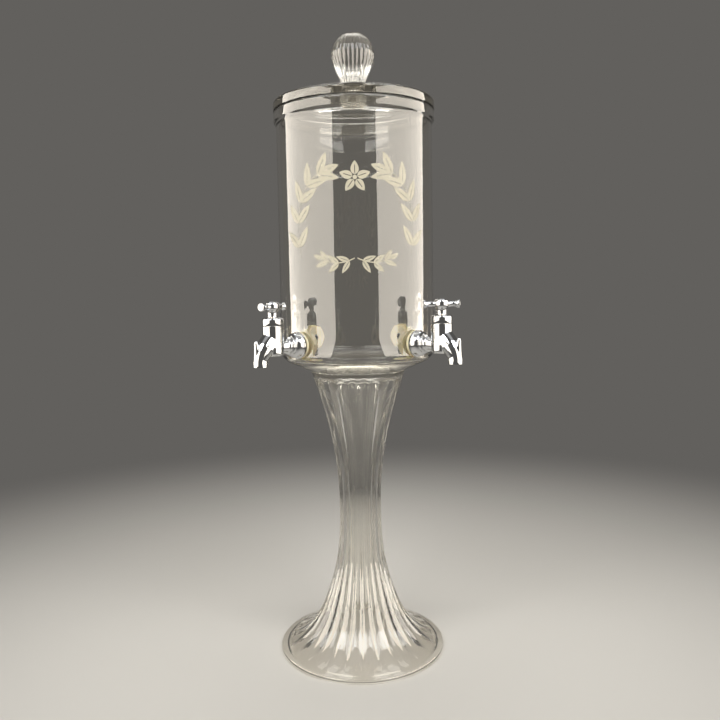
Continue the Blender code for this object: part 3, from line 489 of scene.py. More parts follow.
# %% [markdown]
# ## The taps
#
# Each tap is one brass casting, chromed all over: a flange and neck that come out of the bowl, an upright
# barrel, a spout that leaves the barrel in an S and a spur at its front. A casting has no sharp inside
# corners, because metal shrinks away from them. A plain union of tubes would show hard seams, so the
# barrel, the spout and the spur are joined, remeshed into one skin of small squares and smoothed, which
# rounds every inside corner. What the lathe cut afterwards, the mouth and the barrel's top, is then cut
# flat again, and the turned flange is added. One tap is made with its inlet along X, and the other three
# are copies of it.

# %% Tap: barrel, spout and spur as one soft casting
TURNED_STEPS = 48
BARREL_AT = 91.8
BARREL_RADIUS = 8.3
BARREL_TOP = 287.5
MOUTH_AT = 104.8
MOUTH_END = 257.0
MOUTH_RADIUS = 5.4
MOUTH_BORE = 3.5
SPARE = 1.5
SKIN = 0.32

casting = turned(
    "tap_casting",
    [
        (0, BARREL_TOP + SPARE),
        (BARREL_RADIUS, BARREL_TOP + SPARE),
        (BARREL_RADIUS, 275.0),
        (8.0, 264.4),
        (0, 264.3),
    ],
    TURNED_STEPS,
    [(8.0, 264.4, 2.4, 6)],
)
move_object(casting, x=BARREL_AT)

# %% Tap: the spout is a bent tube that narrows to its mouth
bpy.ops.object.select_all(action="DESELECT")
bpy.ops.curve.primitive_bezier_curve_add(radius=MM)
spout = bpy.context.object
spout.name = "spout"
line = spout.data
line.bevel_depth = MOUTH_RADIUS * MM
line.bevel_resolution = 8
line.resolution_u = 16
line.use_fill_caps = True
line.splines[0].bezier_points.add(2)
spout_stations = (  # where its middle line passes, which way it heads there, and its radius
    ((BARREL_AT + 0.8, 278.6), (2.6, -2.9), 7.5),
    ((100.2, 270.3), (2.3, -3.1), 7.4),
    ((104.5, 262.3), (0.6, -2.4), 5.75),
    ((MOUTH_AT + 0.1, MOUTH_END - SPARE), (0.0, -2.2), MOUTH_RADIUS),
)
for point, (place, along, radius) in zip(line.splines[0].bezier_points, spout_stations):
    point.handle_left_type = point.handle_right_type = "FREE"
    centre = Vector((place[0], 0, place[1])) * MM
    reach = Vector((along[0], 0, along[1])) * MM
    point.co, point.handle_left, point.handle_right = centre, centre - reach, centre + reach
    point.radius = radius / MOUTH_RADIUS
only(spout)
bpy.ops.object.transform_apply()
bpy.ops.object.convert(target="MESH")
edit(spout)
close_up(spout)

# %% Tap: the spur
spur = turned(
    "spur",
    [(0, 277.2), (0.9, 276.9), (1.6, 275.2), (2.1, 271.0), (2.5, 264.0), (2.7, 259.6), (0, 259.6)],
    24,
    [(0.9, 276.9, 0.5, 3)],
)
move_object(spur, x=MOUTH_AT + MOUTH_RADIUS - 2.4)
edit(spur)
pick(spur, lambda place: place.z > 274 * MM)
bpy.ops.transform.translate(value=(0.6 * MM, 0, 0))
bpy.ops.object.mode_set(mode="OBJECT")

# %% Tap: one skin over all three
only(casting)
spout.select_set(True)
spur.select_set(True)
bpy.ops.object.join()
apply_modifier(casting, "REMESH", mode="VOXEL", voxel_size=SKIN * MM)
apply_modifier(casting, "SMOOTH", factor=0.5, iterations=9)
edit(casting)
bpy.ops.mesh.bisect(
    plane_co=(0, 0, BARREL_TOP * MM), plane_no=(0, 0, 1), use_fill=True, clear_outer=True
)
bpy.ops.mesh.select_all(action="SELECT")
bpy.ops.mesh.bisect(
    plane_co=(0, 0, MOUTH_END * MM), plane_no=(0, 0, 1), use_fill=True, clear_inner=True
)
close_up(casting)
report(casting)

# %% Tap: flange, stepped rings, neck and the threaded tail
THREAD_PITCH = 1.25
THREAD_DEPTH = 0.45
SHANK = 5.8
TAIL_END = 54.0
TAIL_THREAD_START = 60.0
thread = []
turns = int((TAIL_THREAD_START - TAIL_END - 0.6) / THREAD_PITCH)
for turn in range(turns):
    crest = TAIL_THREAD_START - turn * THREAD_PITCH
    thread += [(SHANK, crest), (SHANK, crest - 0.2), (SHANK - THREAD_DEPTH, crest - 0.65)]
    thread += [(SHANK - THREAD_DEPTH, crest - 0.8)]
inlet = turned(
    "inlet",
    [
        (0, 91.4),
        (5.3, 91.4),
        (5.3, 80.0),
        (6.3, 79.2),
        (6.3, 77.6),
        (5.9, 77.3),
        (5.9, 76.9),
        (7.4, 76.2),
        (7.6, 75.1),
        (7.1, 74.6),
        (7.1, 74.2),
        (8.6, 73.3),
        *curve((8.6, 73.3), (9.6, 72.4), (10.1, 71.0), (10.2, 69.4), 6),
        (10.6, 69.2),
        (10.6, 66.8),
        (SHANK, 66.8),
        *thread,
        (SHANK - THREAD_DEPTH, TAIL_END + 0.5),
        (SHANK - THREAD_DEPTH - 0.4, TAIL_END),
        (0, TAIL_END),
    ],
    TURNED_STEPS,
    [
        (5.3, 80.0, 0.8, 4),
        (6.3, 79.2, 0.35, 3),
        (6.3, 77.6, 0.35, 3),
        (7.6, 75.1, 0.35, 3),
        (7.4, 76.2, 0.35, 3),
        (10.6, 69.2, 0.4, 4),
        (10.6, 66.8, 0.3, 3),
    ],
)
turn_object(inlet, y=90)
move_object(inlet, z=TAP_AXIS)
combine(casting, inlet, "UNION")

# %% Tap: the bores that can be seen from outside
waterways = [turned("chamber", [(0, 289), (6, 289), (6, 275.9), (2.9, 275.9), (2.9, 277.3), (0, 277.3)], 32)]
move_object(waterways[0], x=BARREL_AT)
waterways.append(turned("mouth", [(0, 263), (2.1, 263), (MOUTH_BORE, 260), (MOUTH_BORE, 256), (0, 256)], 32))
move_object(waterways[1], x=MOUTH_AT)
waterways.append(turned("tail", [(0, 66), (2.1, 66), (2.1, 50), (0, 50)], 24))
turn_object(waterways[2], y=90)
move_object(waterways[2], z=TAP_AXIS)
for waterway in waterways:
    combine(casting, waterway, "DIFFERENCE")
report(soften(casting, 34))

# %% [markdown]
# The bonnet is a turned cap that screws into the barrel, with a fine seam between the two. The handle is a
# hub on a narrow boss, and two arms that swell to flat ends. It is a casting as well, but a sharper one, so
# its arms are joined to the hub as they are.

# %% Tap: bonnet
BONNET_LOW = 287.8
BONNET_HIGH = 294.2
SPINDLE_BORE = 2.9
SPIGOT_RADIUS, SPIGOT_END = 5.7, 283.6  # the open valve's collar rises to 0.3 mm under this end
GROOVE_RADIUS, GROOVE_LOW, GROOVE_HIGH = 4.6, 289.7, 292.3  # the packing ring's seat
bonnet = turned(
    "bonnet_cap",
    [
        (SPINDLE_BORE, BONNET_HIGH),
        (BARREL_RADIUS, BONNET_HIGH),
        (BARREL_RADIUS, BONNET_LOW),
        (SPIGOT_RADIUS, BONNET_LOW),
        (SPIGOT_RADIUS, SPIGOT_END),
        (SPINDLE_BORE, SPIGOT_END),
        (SPINDLE_BORE, GROOVE_LOW),
        (GROOVE_RADIUS, GROOVE_LOW),
        (GROOVE_RADIUS, GROOVE_HIGH),
        (SPINDLE_BORE, GROOVE_HIGH),
    ],
    TURNED_STEPS,
    [(BARREL_RADIUS, BONNET_HIGH, 2.0, 7), (BARREL_RADIUS, BONNET_LOW, 0.25, 2)],
    ring=True,
)
report(bonnet)

# %% Tap: handle hub with its socket and the sunk seat of its screw
HANDLE_LOW = 294.5
HUB_LOW = 298.5
HUB_TOP = 306.3
HUB_RADIUS = 5.6
handle = turned(
    "handle_cross",
    [
        (0, HUB_TOP),
        (HUB_RADIUS - 1.2, HUB_TOP),
        (HUB_RADIUS, HUB_TOP - 1.6),
        (HUB_RADIUS, HUB_LOW + 2.4),
        (4.0, HUB_LOW),
        (3.8, HANDLE_LOW + 1.0),
        (4.2, HANDLE_LOW),
        (0, HANDLE_LOW),
    ],
    TURNED_STEPS,
    [
        (HUB_RADIUS - 1.2, HUB_TOP, 0.7, 4),
        (HUB_RADIUS, HUB_TOP - 1.6, 0.9, 4),
        (HUB_RADIUS, HUB_LOW + 2.4, 0.9, 4),
        (4.0, HUB_LOW, 0.7, 4),
    ],
)
ARM_END = 14.0
ARM_HEIGHT = 302.4
arm_line = [(0, ARM_END), (2.9, ARM_END), (3.25, ARM_END - 0.45), (3.2, ARM_END - 1.2)]
arm_line += curve((3.2, ARM_END - 1.2), (2.5, 11.2), (1.95, 10.0), (1.95, 8.4), 8)
arm_line += curve((1.95, 8.4), (1.95, 6.9), (2.3, 5.8), (2.7, 4.6), 4) + [(0, 4.0)]
for turn in (90, -90):
    arm = turned("arm", arm_line, 32, [(2.9, ARM_END, 0.2, 2)])
    turn_object(arm, y=turn)
    move_object(arm, z=ARM_HEIGHT)
    combine(handle, arm, "UNION")
combine(
    handle,
    turned(
        "handle_bore",
        [(0, 308), (2.9, 308), (2.9, 304.4), (1.3, 304.4), (1.3, 303.2), (2.9, 303.2), (2.9, 293), (0, 293)],
        32,
    ),
    "DIFFERENCE",
)
report(soften(handle))

# %% Tap: the screw that holds the handle
SCREW_TOP, SCREW_RADIUS = 305.9, 2.6
SLOT_SIZE, SLOT_HEIGHT, SLOT_ANGLE = (6, 0.7, 1.4), 306.0, 28
screw = turned(
    "handle_screw_slotted",
    [
        (0, SCREW_TOP),
        (SCREW_RADIUS, SCREW_TOP),
        (SCREW_RADIUS, 304.7),
        (1.0, 304.7),
        (1.0, 299.9),
        (0.8, 299.7),
        (0, 299.7),
    ],
    32,
    [(SCREW_RADIUS, SCREW_TOP, 0.3, 3)],
)
bpy.ops.object.select_all(action="DESELECT")
bpy.ops.mesh.primitive_cube_add(size=1, location=(0, 0, SLOT_HEIGHT * MM))
slot = bpy.context.object
slot.scale = [side * MM for side in SLOT_SIZE]
bpy.ops.object.transform_apply(location=True, rotation=True, scale=True)
turn_object(slot, z=SLOT_ANGLE)
combine(screw, slot, "DIFFERENCE")
report(soften(screw))

# %% [markdown]
# Inside the glass each tap is held by a hexagon nut on a soft washer, both cream, and a thinner washer
# seals the flange outside. The washers are flat towards the metal and take the curve of the glass on their
# other side, so each is cut with a cylinder as wide as the glass. The nut is a six-sided prism whose
# corners a lathe has turned off at 30 degrees, so it is the overlap of a prism and a turned blank. A thin
# lip covers the tail's metal end.

# %% Tap: two washers shaped to the glass
WASHER_HOLE = 6.1
GLASS_GAP = 0.3


def tap_washer(name, radius, low, high, rounding):
    """A ring round the tap's inlet, between two places along X."""
    washer = turned(
        name,
        [(WASHER_HOLE, high), (radius, high), (radius, low), (WASHER_HOLE, low)],
        72,
        [(radius, high, rounding, 3), (radius, low, rounding, 3)],
        ring=True,
    )
    turn_object(washer, y=90)
    return move_object(washer, z=TAP_AXIS)


def glass_cylinder(radius):
    """A plain cylinder as wide as the bowl, to cut or trim a washer with."""
    return turned("glass_cylinder", [(0, 290), (radius, 290), (radius, 250), (0, 250)], 288)


outer_washer = tap_washer("sealing_washer", 10.4, 60.0, 66.5, 0.3)
combine(outer_washer, glass_cylinder(BOWL_RADIUS + GLASS_GAP), "DIFFERENCE")
report(soften(outer_washer))
inner_washer = tap_washer("backing_washer", 10.8, 57.93, 64.0, 0.5)
combine(inner_washer, glass_cylinder(BOWL_INNER - GLASS_GAP), "INTERSECT")
report(soften(inner_washer))

# %% Tap: hexagon nut
NUT_LOW, NUT_HIGH = 53.43, 57.63
NUT_FLATS = 18.4
nut_corner = NUT_FLATS / math.sqrt(3)
bpy.ops.object.select_all(action="DESELECT")
bpy.ops.mesh.primitive_cylinder_add(
    vertices=6,
    radius=nut_corner * MM,
    depth=(NUT_HIGH - NUT_LOW) * MM,
    location=(0, 0, (NUT_HIGH + NUT_LOW) / 2 * MM),
)
nut = bpy.context.object
nut.name = nut.data.name = "hexagon_nut"
bpy.ops.object.transform_apply()
chamfers = turned(
    "nut_chamfers",
    [
        (0, NUT_HIGH),
        (NUT_FLATS / 2 - 0.1, NUT_HIGH),
        (nut_corner + 0.1, NUT_HIGH - 0.9),
        (nut_corner + 0.1, NUT_LOW + 0.9),
        (NUT_FLATS / 2 - 0.1, NUT_LOW),
        (0, NUT_LOW),
    ],
    96,
)
combine(nut, chamfers, "INTERSECT")
nut_bore = [(0, 60), (6.6, 60), (6.6, NUT_HIGH), (6.1, NUT_HIGH - 0.5), (6.1, NUT_LOW + 0.45)]
nut_bore += [(2.7, NUT_LOW + 0.45), (2.7, NUT_LOW + 0.2), (3.0, NUT_LOW), (3.0, 50), (0, 50)]
combine(nut, turned("nut_bore", nut_bore, 48), "DIFFERENCE")
apply_modifier(nut, "BEVEL", width=0.18 * MM, segments=2, limit_method="ANGLE", angle_limit=math.radians(28))
turn_object(nut, y=90)
report(soften(move_object(nut, z=TAP_AXIS)))

# %% [markdown]
# ## Four taps from one
#
# The tap is whole now, with its inlet along X. Each piece is copied to the four sides, and each copy has
# its own mesh, because a mesh holds its place. The handles stand at four different turns, as they were
# left.

# %% Copy the pieces to their sides
HANDLE_TURNS = {"front_left": 13, "front_right": 45, "back_right": 33, "back_left": -33}
TAP_PIECES = (
    (casting, "tap_body", "chrome", 0),
    (outer_washer, "outer_washer", "silicone", 0),
    (inner_washer, "inner_washer", "silicone", 0),
    (nut, "lock_nut", "nylon", 0),
    (bonnet, "bonnet", "chrome", BARREL_AT),
    (handle, "handle", "chrome", BARREL_AT),
    (screw, "handle_screw", "chrome", BARREL_AT),
)


def copy_to_side(piece, node, at, side):
    """A copy of the piece, turned to its side of the bowl, in place of its CAD node."""
    only(piece)
    bpy.ops.object.duplicate()
    copy = bpy.context.object
    copy.name = copy.data.name = f"{piece.name}_{side}"
    on_handle = node.startswith("handle")
    if on_handle:
        turn_object(copy, z=HANDLE_TURNS[side])
    move_object(copy, x=at)
    turn_object(copy, z=SIDES[side])
    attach(copy, side + "_handle" if on_handle else "fountain")
    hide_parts(f"{node}_{side}")
    return copy


taps = {node: [] for _, node, _, _ in TAP_PIECES}
for piece, node, slot_name, at in TAP_PIECES:
    for side in SIDES:
        taps[node].append(copy_to_side(piece, node, at, side))
    bpy.data.objects.remove(piece)
print("each of the four taps has", len(TAP_PIECES), "outer pieces")

# %% [markdown]
# ## The frosted ornament
#
# The front of the bowl carries a sandblasted ornament. Here it is a plain garland: an arch of leaves over a
# small sprig. A blaster sticks a flat stencil on the glass and wraps it round, so the leaves are drawn
# flat, bent to the radius of the bowl in one go, and then given the small thickness that lets them stand
# clear of the clear glass.

# %% One flat leaf with an open middle vein
LEAF_COLUMNS = 10


def flat_leaf(name, length, width):
    """A leaf that grows from the origin along X, in the XZ plane, facing the front."""
    bpy.ops.object.select_all(action="DESELECT")
    bpy.ops.mesh.primitive_grid_add(
        x_subdivisions=LEAF_COLUMNS, y_subdivisions=5, size=1, location=(0.5, 0, 0)
    )
    leaf = bpy.context.object
    leaf.name = leaf.data.name = name
    bpy.ops.object.transform_apply(location=True, rotation=True, scale=True)
    edit(leaf)
    pick(leaf, lambda p: 0.05 < abs(p.y) < 0.15)
    bpy.ops.transform.resize(value=(1, 0.45, 1), center_override=AXIS)
    for column in range(LEAF_COLUMNS + 1):
        along = column / LEAF_COLUMNS
        swell = math.sin(math.pi * along**0.75) ** 0.8 if 0 < along < 1 else 0
        pick(leaf, lambda p: abs(p.x - along) < 0.01)
        bpy.ops.transform.resize(value=(1, swell, 1), center_override=(along, 0, 0))
    bpy.ops.mesh.select_all(action="SELECT")
    bpy.ops.transform.resize(value=(length * MM, width * MM, 1), center_override=AXIS)
    bpy.ops.mesh.select_all(action="DESELECT")
    shape = bmesh.from_edit_mesh(leaf.data)
    for face in shape.faces:
        middle = face.calc_center_median()
        face.select = abs(middle.y) < 0.02 * width * MM and middle.x < 0.72 * length * MM
    bmesh.update_edit_mesh(leaf.data)
    bpy.ops.mesh.delete(type="FACE")
    close_up(leaf)
    return turn_object(leaf, x=90)


# %% Leaves along a line, and the stalk they grow from
def flat_stalk(name, line, width):
    """A thin ribbon along a line of (across, height) points in mm, facing the front."""
    bpy.ops.object.select_all(action="DESELECT")
    bpy.ops.mesh.primitive_plane_add(size=MM, location=(line[0][0] * MM, 0, line[0][1] * MM))
    stalk = bpy.context.object
    stalk.name = stalk.data.name = name
    bpy.ops.object.transform_apply()
    edit(stalk)
    bpy.ops.mesh.merge(type="CENTER")
    for (x0, z0), (x1, z1) in zip(line, line[1:]):
        step = ((x1 - x0) * MM, 0, (z1 - z0) * MM)
        bpy.ops.mesh.extrude_vertices_move(TRANSFORM_OT_translate={"value": step})
    bpy.ops.mesh.select_all(action="SELECT")
    bpy.ops.mesh.extrude_edges_move(TRANSFORM_OT_translate={"value": (0, 0, width * MM)})
    return close_up(stalk)


def grow_leaves(line, length, every):
    """Leaves of this length in mm, in pairs at every so many points of the line, and one at its end."""
    leaves = []
    for i in range(every // 2, len(line) - 1, every):
        (x0, z0), (x1, z1) = line[i - 1], line[i + 1]
        heading = math.degrees(math.atan2(z1 - z0, x1 - x0))
        for lean in (38, -38):
            leaf = flat_leaf("leaf", length, length * 0.37)
            turn_object(leaf, y=-(heading + lean))
            leaves.append(move_object(leaf, x=line[i][0], z=line[i][1]))
    (x0, z0), (x1, z1) = line[-2], line[-1]
    end_leaf = flat_leaf("leaf", length * 0.75, length * 0.34)
    turn_object(end_leaf, y=-math.degrees(math.atan2(z1 - z0, x1 - x0)))
    leaves.append(move_object(end_leaf, x=x1, z=z1))
    return leaves


# %% A flower: five leaves as petals round a small disc
def flat_flower(across, height, petal):
    """The flower's flat pieces, with its middle at this place and petals of this length, in mm."""
    parts = []
    for turn in range(90, 450, 72):
        leaf = move_object(flat_leaf("petal", petal, petal * 0.6), x=1.9)
        turn_object(leaf, y=-turn)
        parts.append(move_object(leaf, x=across, z=height))
    bpy.ops.object.select_all(action="DESELECT")
    bpy.ops.mesh.primitive_circle_add(
        vertices=20,
        radius=1.7 * MM,
        fill_type="TRIFAN",
        location=(across * MM, 0, height * MM),
        rotation=(math.radians(90), 0, 0),
    )
    heart = bpy.context.object
    bpy.ops.object.transform_apply(location=True, rotation=True, scale=True)
    return parts + [heart]


# %% The stencil, laid flat
left_stalk = [(-47, 340)] + curve((-47, 340), (-54, 374), (-44, 398), (-25, 404), 24)
right_stalk = [(47, 340)] + curve((47, 340), (54, 374), (44, 398), (25, 404), 24)
sprig_left = [(-1, 338)] + curve((-1, 338), (-9, 334), (-18, 333), (-27, 338), 12)
sprig_right = [(1, 338)] + curve((1, 338), (9, 334), (18, 333), (27, 338), 12)
stencil = []
for name, line, length, every in (
    ("left_stalk", left_stalk, 18.0, 5),
    ("right_stalk", right_stalk, 18.0, 5),
    ("sprig_left", sprig_left, 11.0, 4),
    ("sprig_right", sprig_right, 11.0, 4),
):
    stencil.append(flat_stalk(name, line, 0.9))
    stencil += grow_leaves(line, length, every)
stencil += flat_flower(0, 399, 10.5)
garland = only(stencil[0])
for flat in stencil[1:]:
    flat.select_set(True)
bpy.ops.object.join()
garland.name = garland.data.name = "frosted_garland"

# %% The stencil, wrapped round the bowl
GARLAND_RADIUS = BOWL_RADIUS + 0.03
FROST_DEPTH = 0.1
edit(garland)
shape = bmesh.from_edit_mesh(garland.data)
for face in shape.faces:
    face.select = face.normal.y > 0
bmesh.update_edit_mesh(garland.data)
bpy.ops.mesh.flip_normals()
bpy.ops.object.mode_set(mode="OBJECT")
across = [vertex.co.x for vertex in garland.data.vertices]
bend = (max(across) - min(across)) / (GARLAND_RADIUS * MM)
apply_modifier(garland, "SIMPLE_DEFORM", deform_method="BEND", deform_axis="Z", angle=bend)
move_object(garland, y=-GARLAND_RADIUS)
apply_modifier(garland, "SOLIDIFY", thickness=FROST_DEPTH * MM, offset=1)
report(garland)
reach = [math.hypot(v.co.x, v.co.y) / MM for v in garland.data.vertices]
print("garland lies between", round(min(reach), 2), "and", round(max(reach), 2), "mm from the axis")
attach(garland, "fountain")

# %% Glass pieces ride on their bodies
for piece, node, body in (
    (pedestal, "pedestal", "fountain"),
    (bowl, "bowl", "fountain"),
    (lid, "lid", "lid"),
    (knob, "lid_knob", "lid"),
):
    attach(piece, body)
    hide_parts(node)

# %% [markdown]
# ## Finishes
#
# Each finish starts from what the real material is. One function turns the written colours into light
# values, and one adds a shader node with its settings and links. Noise that stays with the piece, the dents
# it makes and the patches it colours are needed by most finishes, so each of those is a function as well.

# %% Colour and node helpers
MIX_A, MIX_B, MIX_RESULT = 6, 7, 2  # the numbers of a Mix node's colour sockets


def light_value(hex_colour):
    """A colour written as sRGB hex, as the linear numbers that a shader works with."""
    shares = [int(hex_colour[i : i + 2], 16) / 255 for i in (0, 2, 4)]
    return [s / 12.92 if s <= 0.04045 else ((s + 0.055) / 1.055) ** 2.4 for s in shares] + [1]


def finish(name):
    """A material with only its Principled BSDF and output, and the nodes' tree."""
    material = bpy.data.materials.new(name)
    material.use_nodes = True
    tree = material.node_tree
    return material, tree, tree.nodes["Principled BSDF"], tree.nodes["Material Output"]


def add_node(tree, kind, links=None, inputs=None, **settings):
    """A node with its settings, its input values, and links given as {input: output socket}."""
    node = tree.nodes.new(kind)
    for name, value in settings.items():
        setattr(node, name, value)
    for name, value in (inputs or {}).items():
        node.inputs[name].default_value = value
    for name, source in (links or {}).items():
        tree.links.new(source, node.inputs[name])
    return node


def piece_places(tree):
    """The place of each point in its piece, so that a pattern stays with the piece when it moves."""
    return add_node(tree, "ShaderNodeTexCoord").outputs["Object"]


def noise(tree, places, size_mm, detail):
    """Soft noise whose patches are this wide."""
    scale = {"Scale": 1 / (size_mm * MM), "Detail": detail}
    return add_node(tree, "ShaderNodeTexNoise", {"Vector": places}, scale).outputs["Fac"]


def dent(tree, shader, height, depth_mm, strength=1):
    """Make the surface look raised and sunk by the noise, this deep."""
    depth = {"Strength": strength, "Distance": depth_mm * MM}
    bump = add_node(tree, "ShaderNodeBump", {"Height": height}, depth)
    tree.links.new(bump.outputs["Normal"], shader.inputs["Normal"])


def patch(tree, shader, patches, spread, colours, gloss):
    """Let the noise vary the colour between two, and over its spread the roughness between two."""
    shade = add_node(tree, "ShaderNodeMix", {"Factor": patches}, data_type="RGBA")
    shade.inputs[MIX_A].default_value = light_value(colours[0])
    shade.inputs[MIX_B].default_value = light_value(colours[1])
    tree.links.new(shade.outputs[MIX_RESULT], shader.inputs["Base Color"])
    haze = add_node(
        tree,
        "ShaderNodeMapRange",
        {"Value": patches},
        {"From Min": spread[0], "From Max": spread[1], "To Min": gloss[0], "To Max": gloss[1]},
    )
    tree.links.new(haze.outputs["Result"], shader.inputs["Roughness"])


def put_on(material, *pieces):
    """Give each piece this material and no other."""
    for piece in pieces:
        piece.data.materials.clear()
        piece.data.materials.append(material)


# %% [markdown]
# Glass is the main finish. It could be one shader for all, but the two ways of making it leave different
# surfaces. The bowl is blown and drawn, so it has long shallow waves up and down. The foot, lid and knob
# are pressed in a mould, so they have short soft ripples all ways. Both are lit through, so their thick
# parts show a faint tint.

# %% Clear glass
GLASS_IOR = 1.51
GLASS_TINT, TINT_DENSITY = "d9d2bd", 9


def clear_glass(name, ripple_mm, stretch, depth_mm, tint, density):
    """Soda-lime glass. Its waves are ripple_mm wide, and stretch times as tall."""
    material, tree, shader, output = finish(name)
    shader.inputs["Base Color"].default_value = light_value("fdfcf9")
    shader.inputs["Transmission Weight"].default_value = 1
    shader.inputs["IOR"].default_value = GLASS_IOR
    shader.inputs["Roughness"].default_value = 0.0
    drawn = add_node(
        tree, "ShaderNodeMapping", {"Vector": piece_places(tree)}, {"Scale": (1, 1, 1 / stretch)}
    )
    dent(tree, shader, noise(tree, drawn.outputs["Vector"], ripple_mm, 1), depth_mm)
    body = add_node(
        tree, "ShaderNodeVolumeAbsorption", None, {"Color": light_value(tint), "Density": density}
    )
    tree.links.new(body.outputs["Volume"], output.inputs["Volume"])
    return material


# Long waves bend the bright bands in the bowl a little, and the pressed glass glitters more.
blown_glass = clear_glass("clear_blown_glass", 24, 6, 0.05, GLASS_TINT, TINT_DENSITY)
pressed_glass = clear_glass("clear_pressed_glass", 9, 1, 0.025, GLASS_TINT, TINT_DENSITY)
put_on(blown_glass, bowl)
put_on(pressed_glass, pedestal, lid, knob)

# %% Sandblasted frost: milky, matt and fine-grained, so it stands out from the clear glass
frost, tree, shader, _ = finish("sandblasted_frost")
shader.inputs["Transmission Weight"].default_value = 0.25
shader.inputs["IOR"].default_value = GLASS_IOR
places = piece_places(tree)
patch(tree, shader, noise(tree, places, 11, 3), (0.3, 0.7), ("d0c8ad", "e0d9c3"), (0.55, 0.75))
dent(tree, shader, noise(tree, places, 0.5, 2), 0.05, 0.6)
put_on(frost, garland)

# %% [markdown]
# The other finishes are opaque. Each has two soft noises: a wide one shifts its colour and its gloss a
# little, as handling and moulding do, and a fine one gives its grain. One function holds that recipe, and
# each material states its own colours, gloss and sizes, so nothing in it is a single flat colour.

# %% Metals, plastics and rubbers
PATCH_SPREAD = (0.35, 0.65)


def grained_finish(name, colours, gloss, patch_mm, grain_mm, grain_depth_mm, metallic=0.0):
    """colours and gloss are pairs: what the patches vary between."""
    material, tree, shader, _ = finish(name)
    shader.inputs["Metallic"].default_value = metallic
    places = piece_places(tree)
    patch(tree, shader, noise(tree, places, patch_mm, 4), PATCH_SPREAD, colours, gloss)
    dent(tree, shader, noise(tree, places, grain_mm, 2), grain_depth_mm)
    return material


# Nickel-chrome plate on brass is a cool mirror. The casting under it still waves, and fingers haze it.
chrome = grained_finish("bright_chrome_plate", ("c6c8ca", "d8d9db"), (0.03, 0.11), 7, 5, 0.012, 1.0)
# Turned brass inside the valve is yellow and satin, with tool marks about 0.3 mm apart.
brass = grained_finish("turned_brass", ("b8934c", "d2b06a"), (0.2, 0.32), 3, 0.3, 0.01, 1.0)
# Moulded silicone is cream and soft to the eye, with a faintly dusty skin.
silicone = grained_finish("cream_moulded_silicone", ("efe2ba", "f8edcb"), (0.38, 0.52), 4, 0.6, 0.02)
# Moulded nylon is a paler, harder cream, with the fine spark-eroded grain of its mould.
nylon = grained_finish("cream_moulded_nylon", ("f2e7c6", "faf1d8"), (0.3, 0.42), 6, 0.4, 0.015)
for soft, depth in ((silicone, 1.2), (nylon, 0.6)):
    skin = soft.node_tree.nodes["Principled BSDF"]
    skin.inputs["Subsurface Weight"].default_value = 0.25
    skin.inputs["Subsurface Scale"].default_value = depth * MM
    skin.inputs["Subsurface Radius"].default_value = (1.0, 0.8, 0.5)
# Nitrile rubber is black and dull, with a fine pebbled skin.
rubber = grained_finish("black_nitrile_rubber", ("161514", "262422"), (0.55, 0.7), 2, 0.25, 0.02)
FINISHES = {
    "tap_body": chrome,
    "bonnet": chrome,
    "handle": chrome,
    "handle_screw": chrome,
    "outer_washer": silicone,
    "inner_washer": silicone,
    "lock_nut": nylon,
    "packing": rubber,
    "seat_washer": rubber,
    "jumper": brass,
    "spindle": brass,
}
for piece, material in FINISHES.items():
    kept = [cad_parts[f"{piece}_{side}"] for side in SIDES]
    put_on(material, *taps.get(piece, kept))
print("finishes:", sorted(material.name for material in bpy.data.materials if material.users))

# %% [markdown]
# ## Table, light and camera
#
# Glass and chrome show what stands round them. Tall panels at both sides give the long pale bands down the
# bowl, and the gap between them leaves the middle darker. Seen straight through the glass from the side,
# such bright panels would blind the camera, so they light nothing and are seen in mirror reflections alone.
# Chrome mirrors most of what it faces and glass only a twentieth of it, so one panel is soft and seen by
# every piece, and a stronger one behind it is seen by the glass and its frost alone. The light itself comes
# from three panels that hang higher and from a wide one overhead, at the level at which a colour comes out
# as it is written. The table is one sheet of pale paper. Far from the fountain it fades into the grey of
# the room, so no edge of it shows from any side.

# %% Table
TABLE_SIZE = 16
bpy.ops.object.select_all(action="DESELECT")
bpy.ops.mesh.primitive_plane_add(size=TABLE_SIZE)
table = bpy.context.object
table.name = table.data.name = "paper_table"
edit(table)
bpy.ops.mesh.subdivide(number_cuts=7)
close_up(table)
print("the table is", TABLE_SIZE, "m wide, and no part of the fountain")

# %% Pale paper with a fine tooth
ROOM_GREY = "62605d"
FADE_START, FADE_END = 0.15, 0.85  # metres from the fountain
paper, tree, shader, output = finish("pale_paper")
shader.inputs["Base Color"].default_value = light_value("d2cec6")
shader.inputs["Roughness"].default_value = 0.95
shader.inputs["Specular IOR Level"].default_value = 0  # paper has no shine that could mirror the panels
places = piece_places(tree)
dent(tree, shader, noise(tree, places, 0.8, 2), 0.1, 0.3)
away = add_node(tree, "ShaderNodeVectorMath", {0: places}, operation="LENGTH")
far = add_node(
    tree,
    "ShaderNodeMapRange",
    {"Value": away.outputs["Value"]},
    {"From Min": FADE_START, "From Max": FADE_END},
    interpolation_type="SMOOTHSTEP",
)
rays = add_node(tree, "ShaderNodeLightPath")
seen = rays.outputs["Is Camera Ray"]
for kind in ("Is Glossy Ray", "Is Transmission Ray"):
    seen = add_node(tree, "ShaderNodeMath", {0: seen, 1: rays.outputs[kind]}, operation="ADD").outputs[0]
share = add_node(tree, "ShaderNodeMath", {0: seen, 1: far.outputs["Result"]}, operation="MULTIPLY")
even = add_node(tree, "ShaderNodeEmission", None, {"Color": light_value(ROOM_GREY), "Strength": 1})
blend = add_node(
    tree, "ShaderNodeMixShader", {0: share.outputs[0], 1: shader.outputs["BSDF"], 2: even.outputs[0]}
)
tree.links.new(blend.outputs[0], output.inputs["Surface"])
put_on(paper, table)

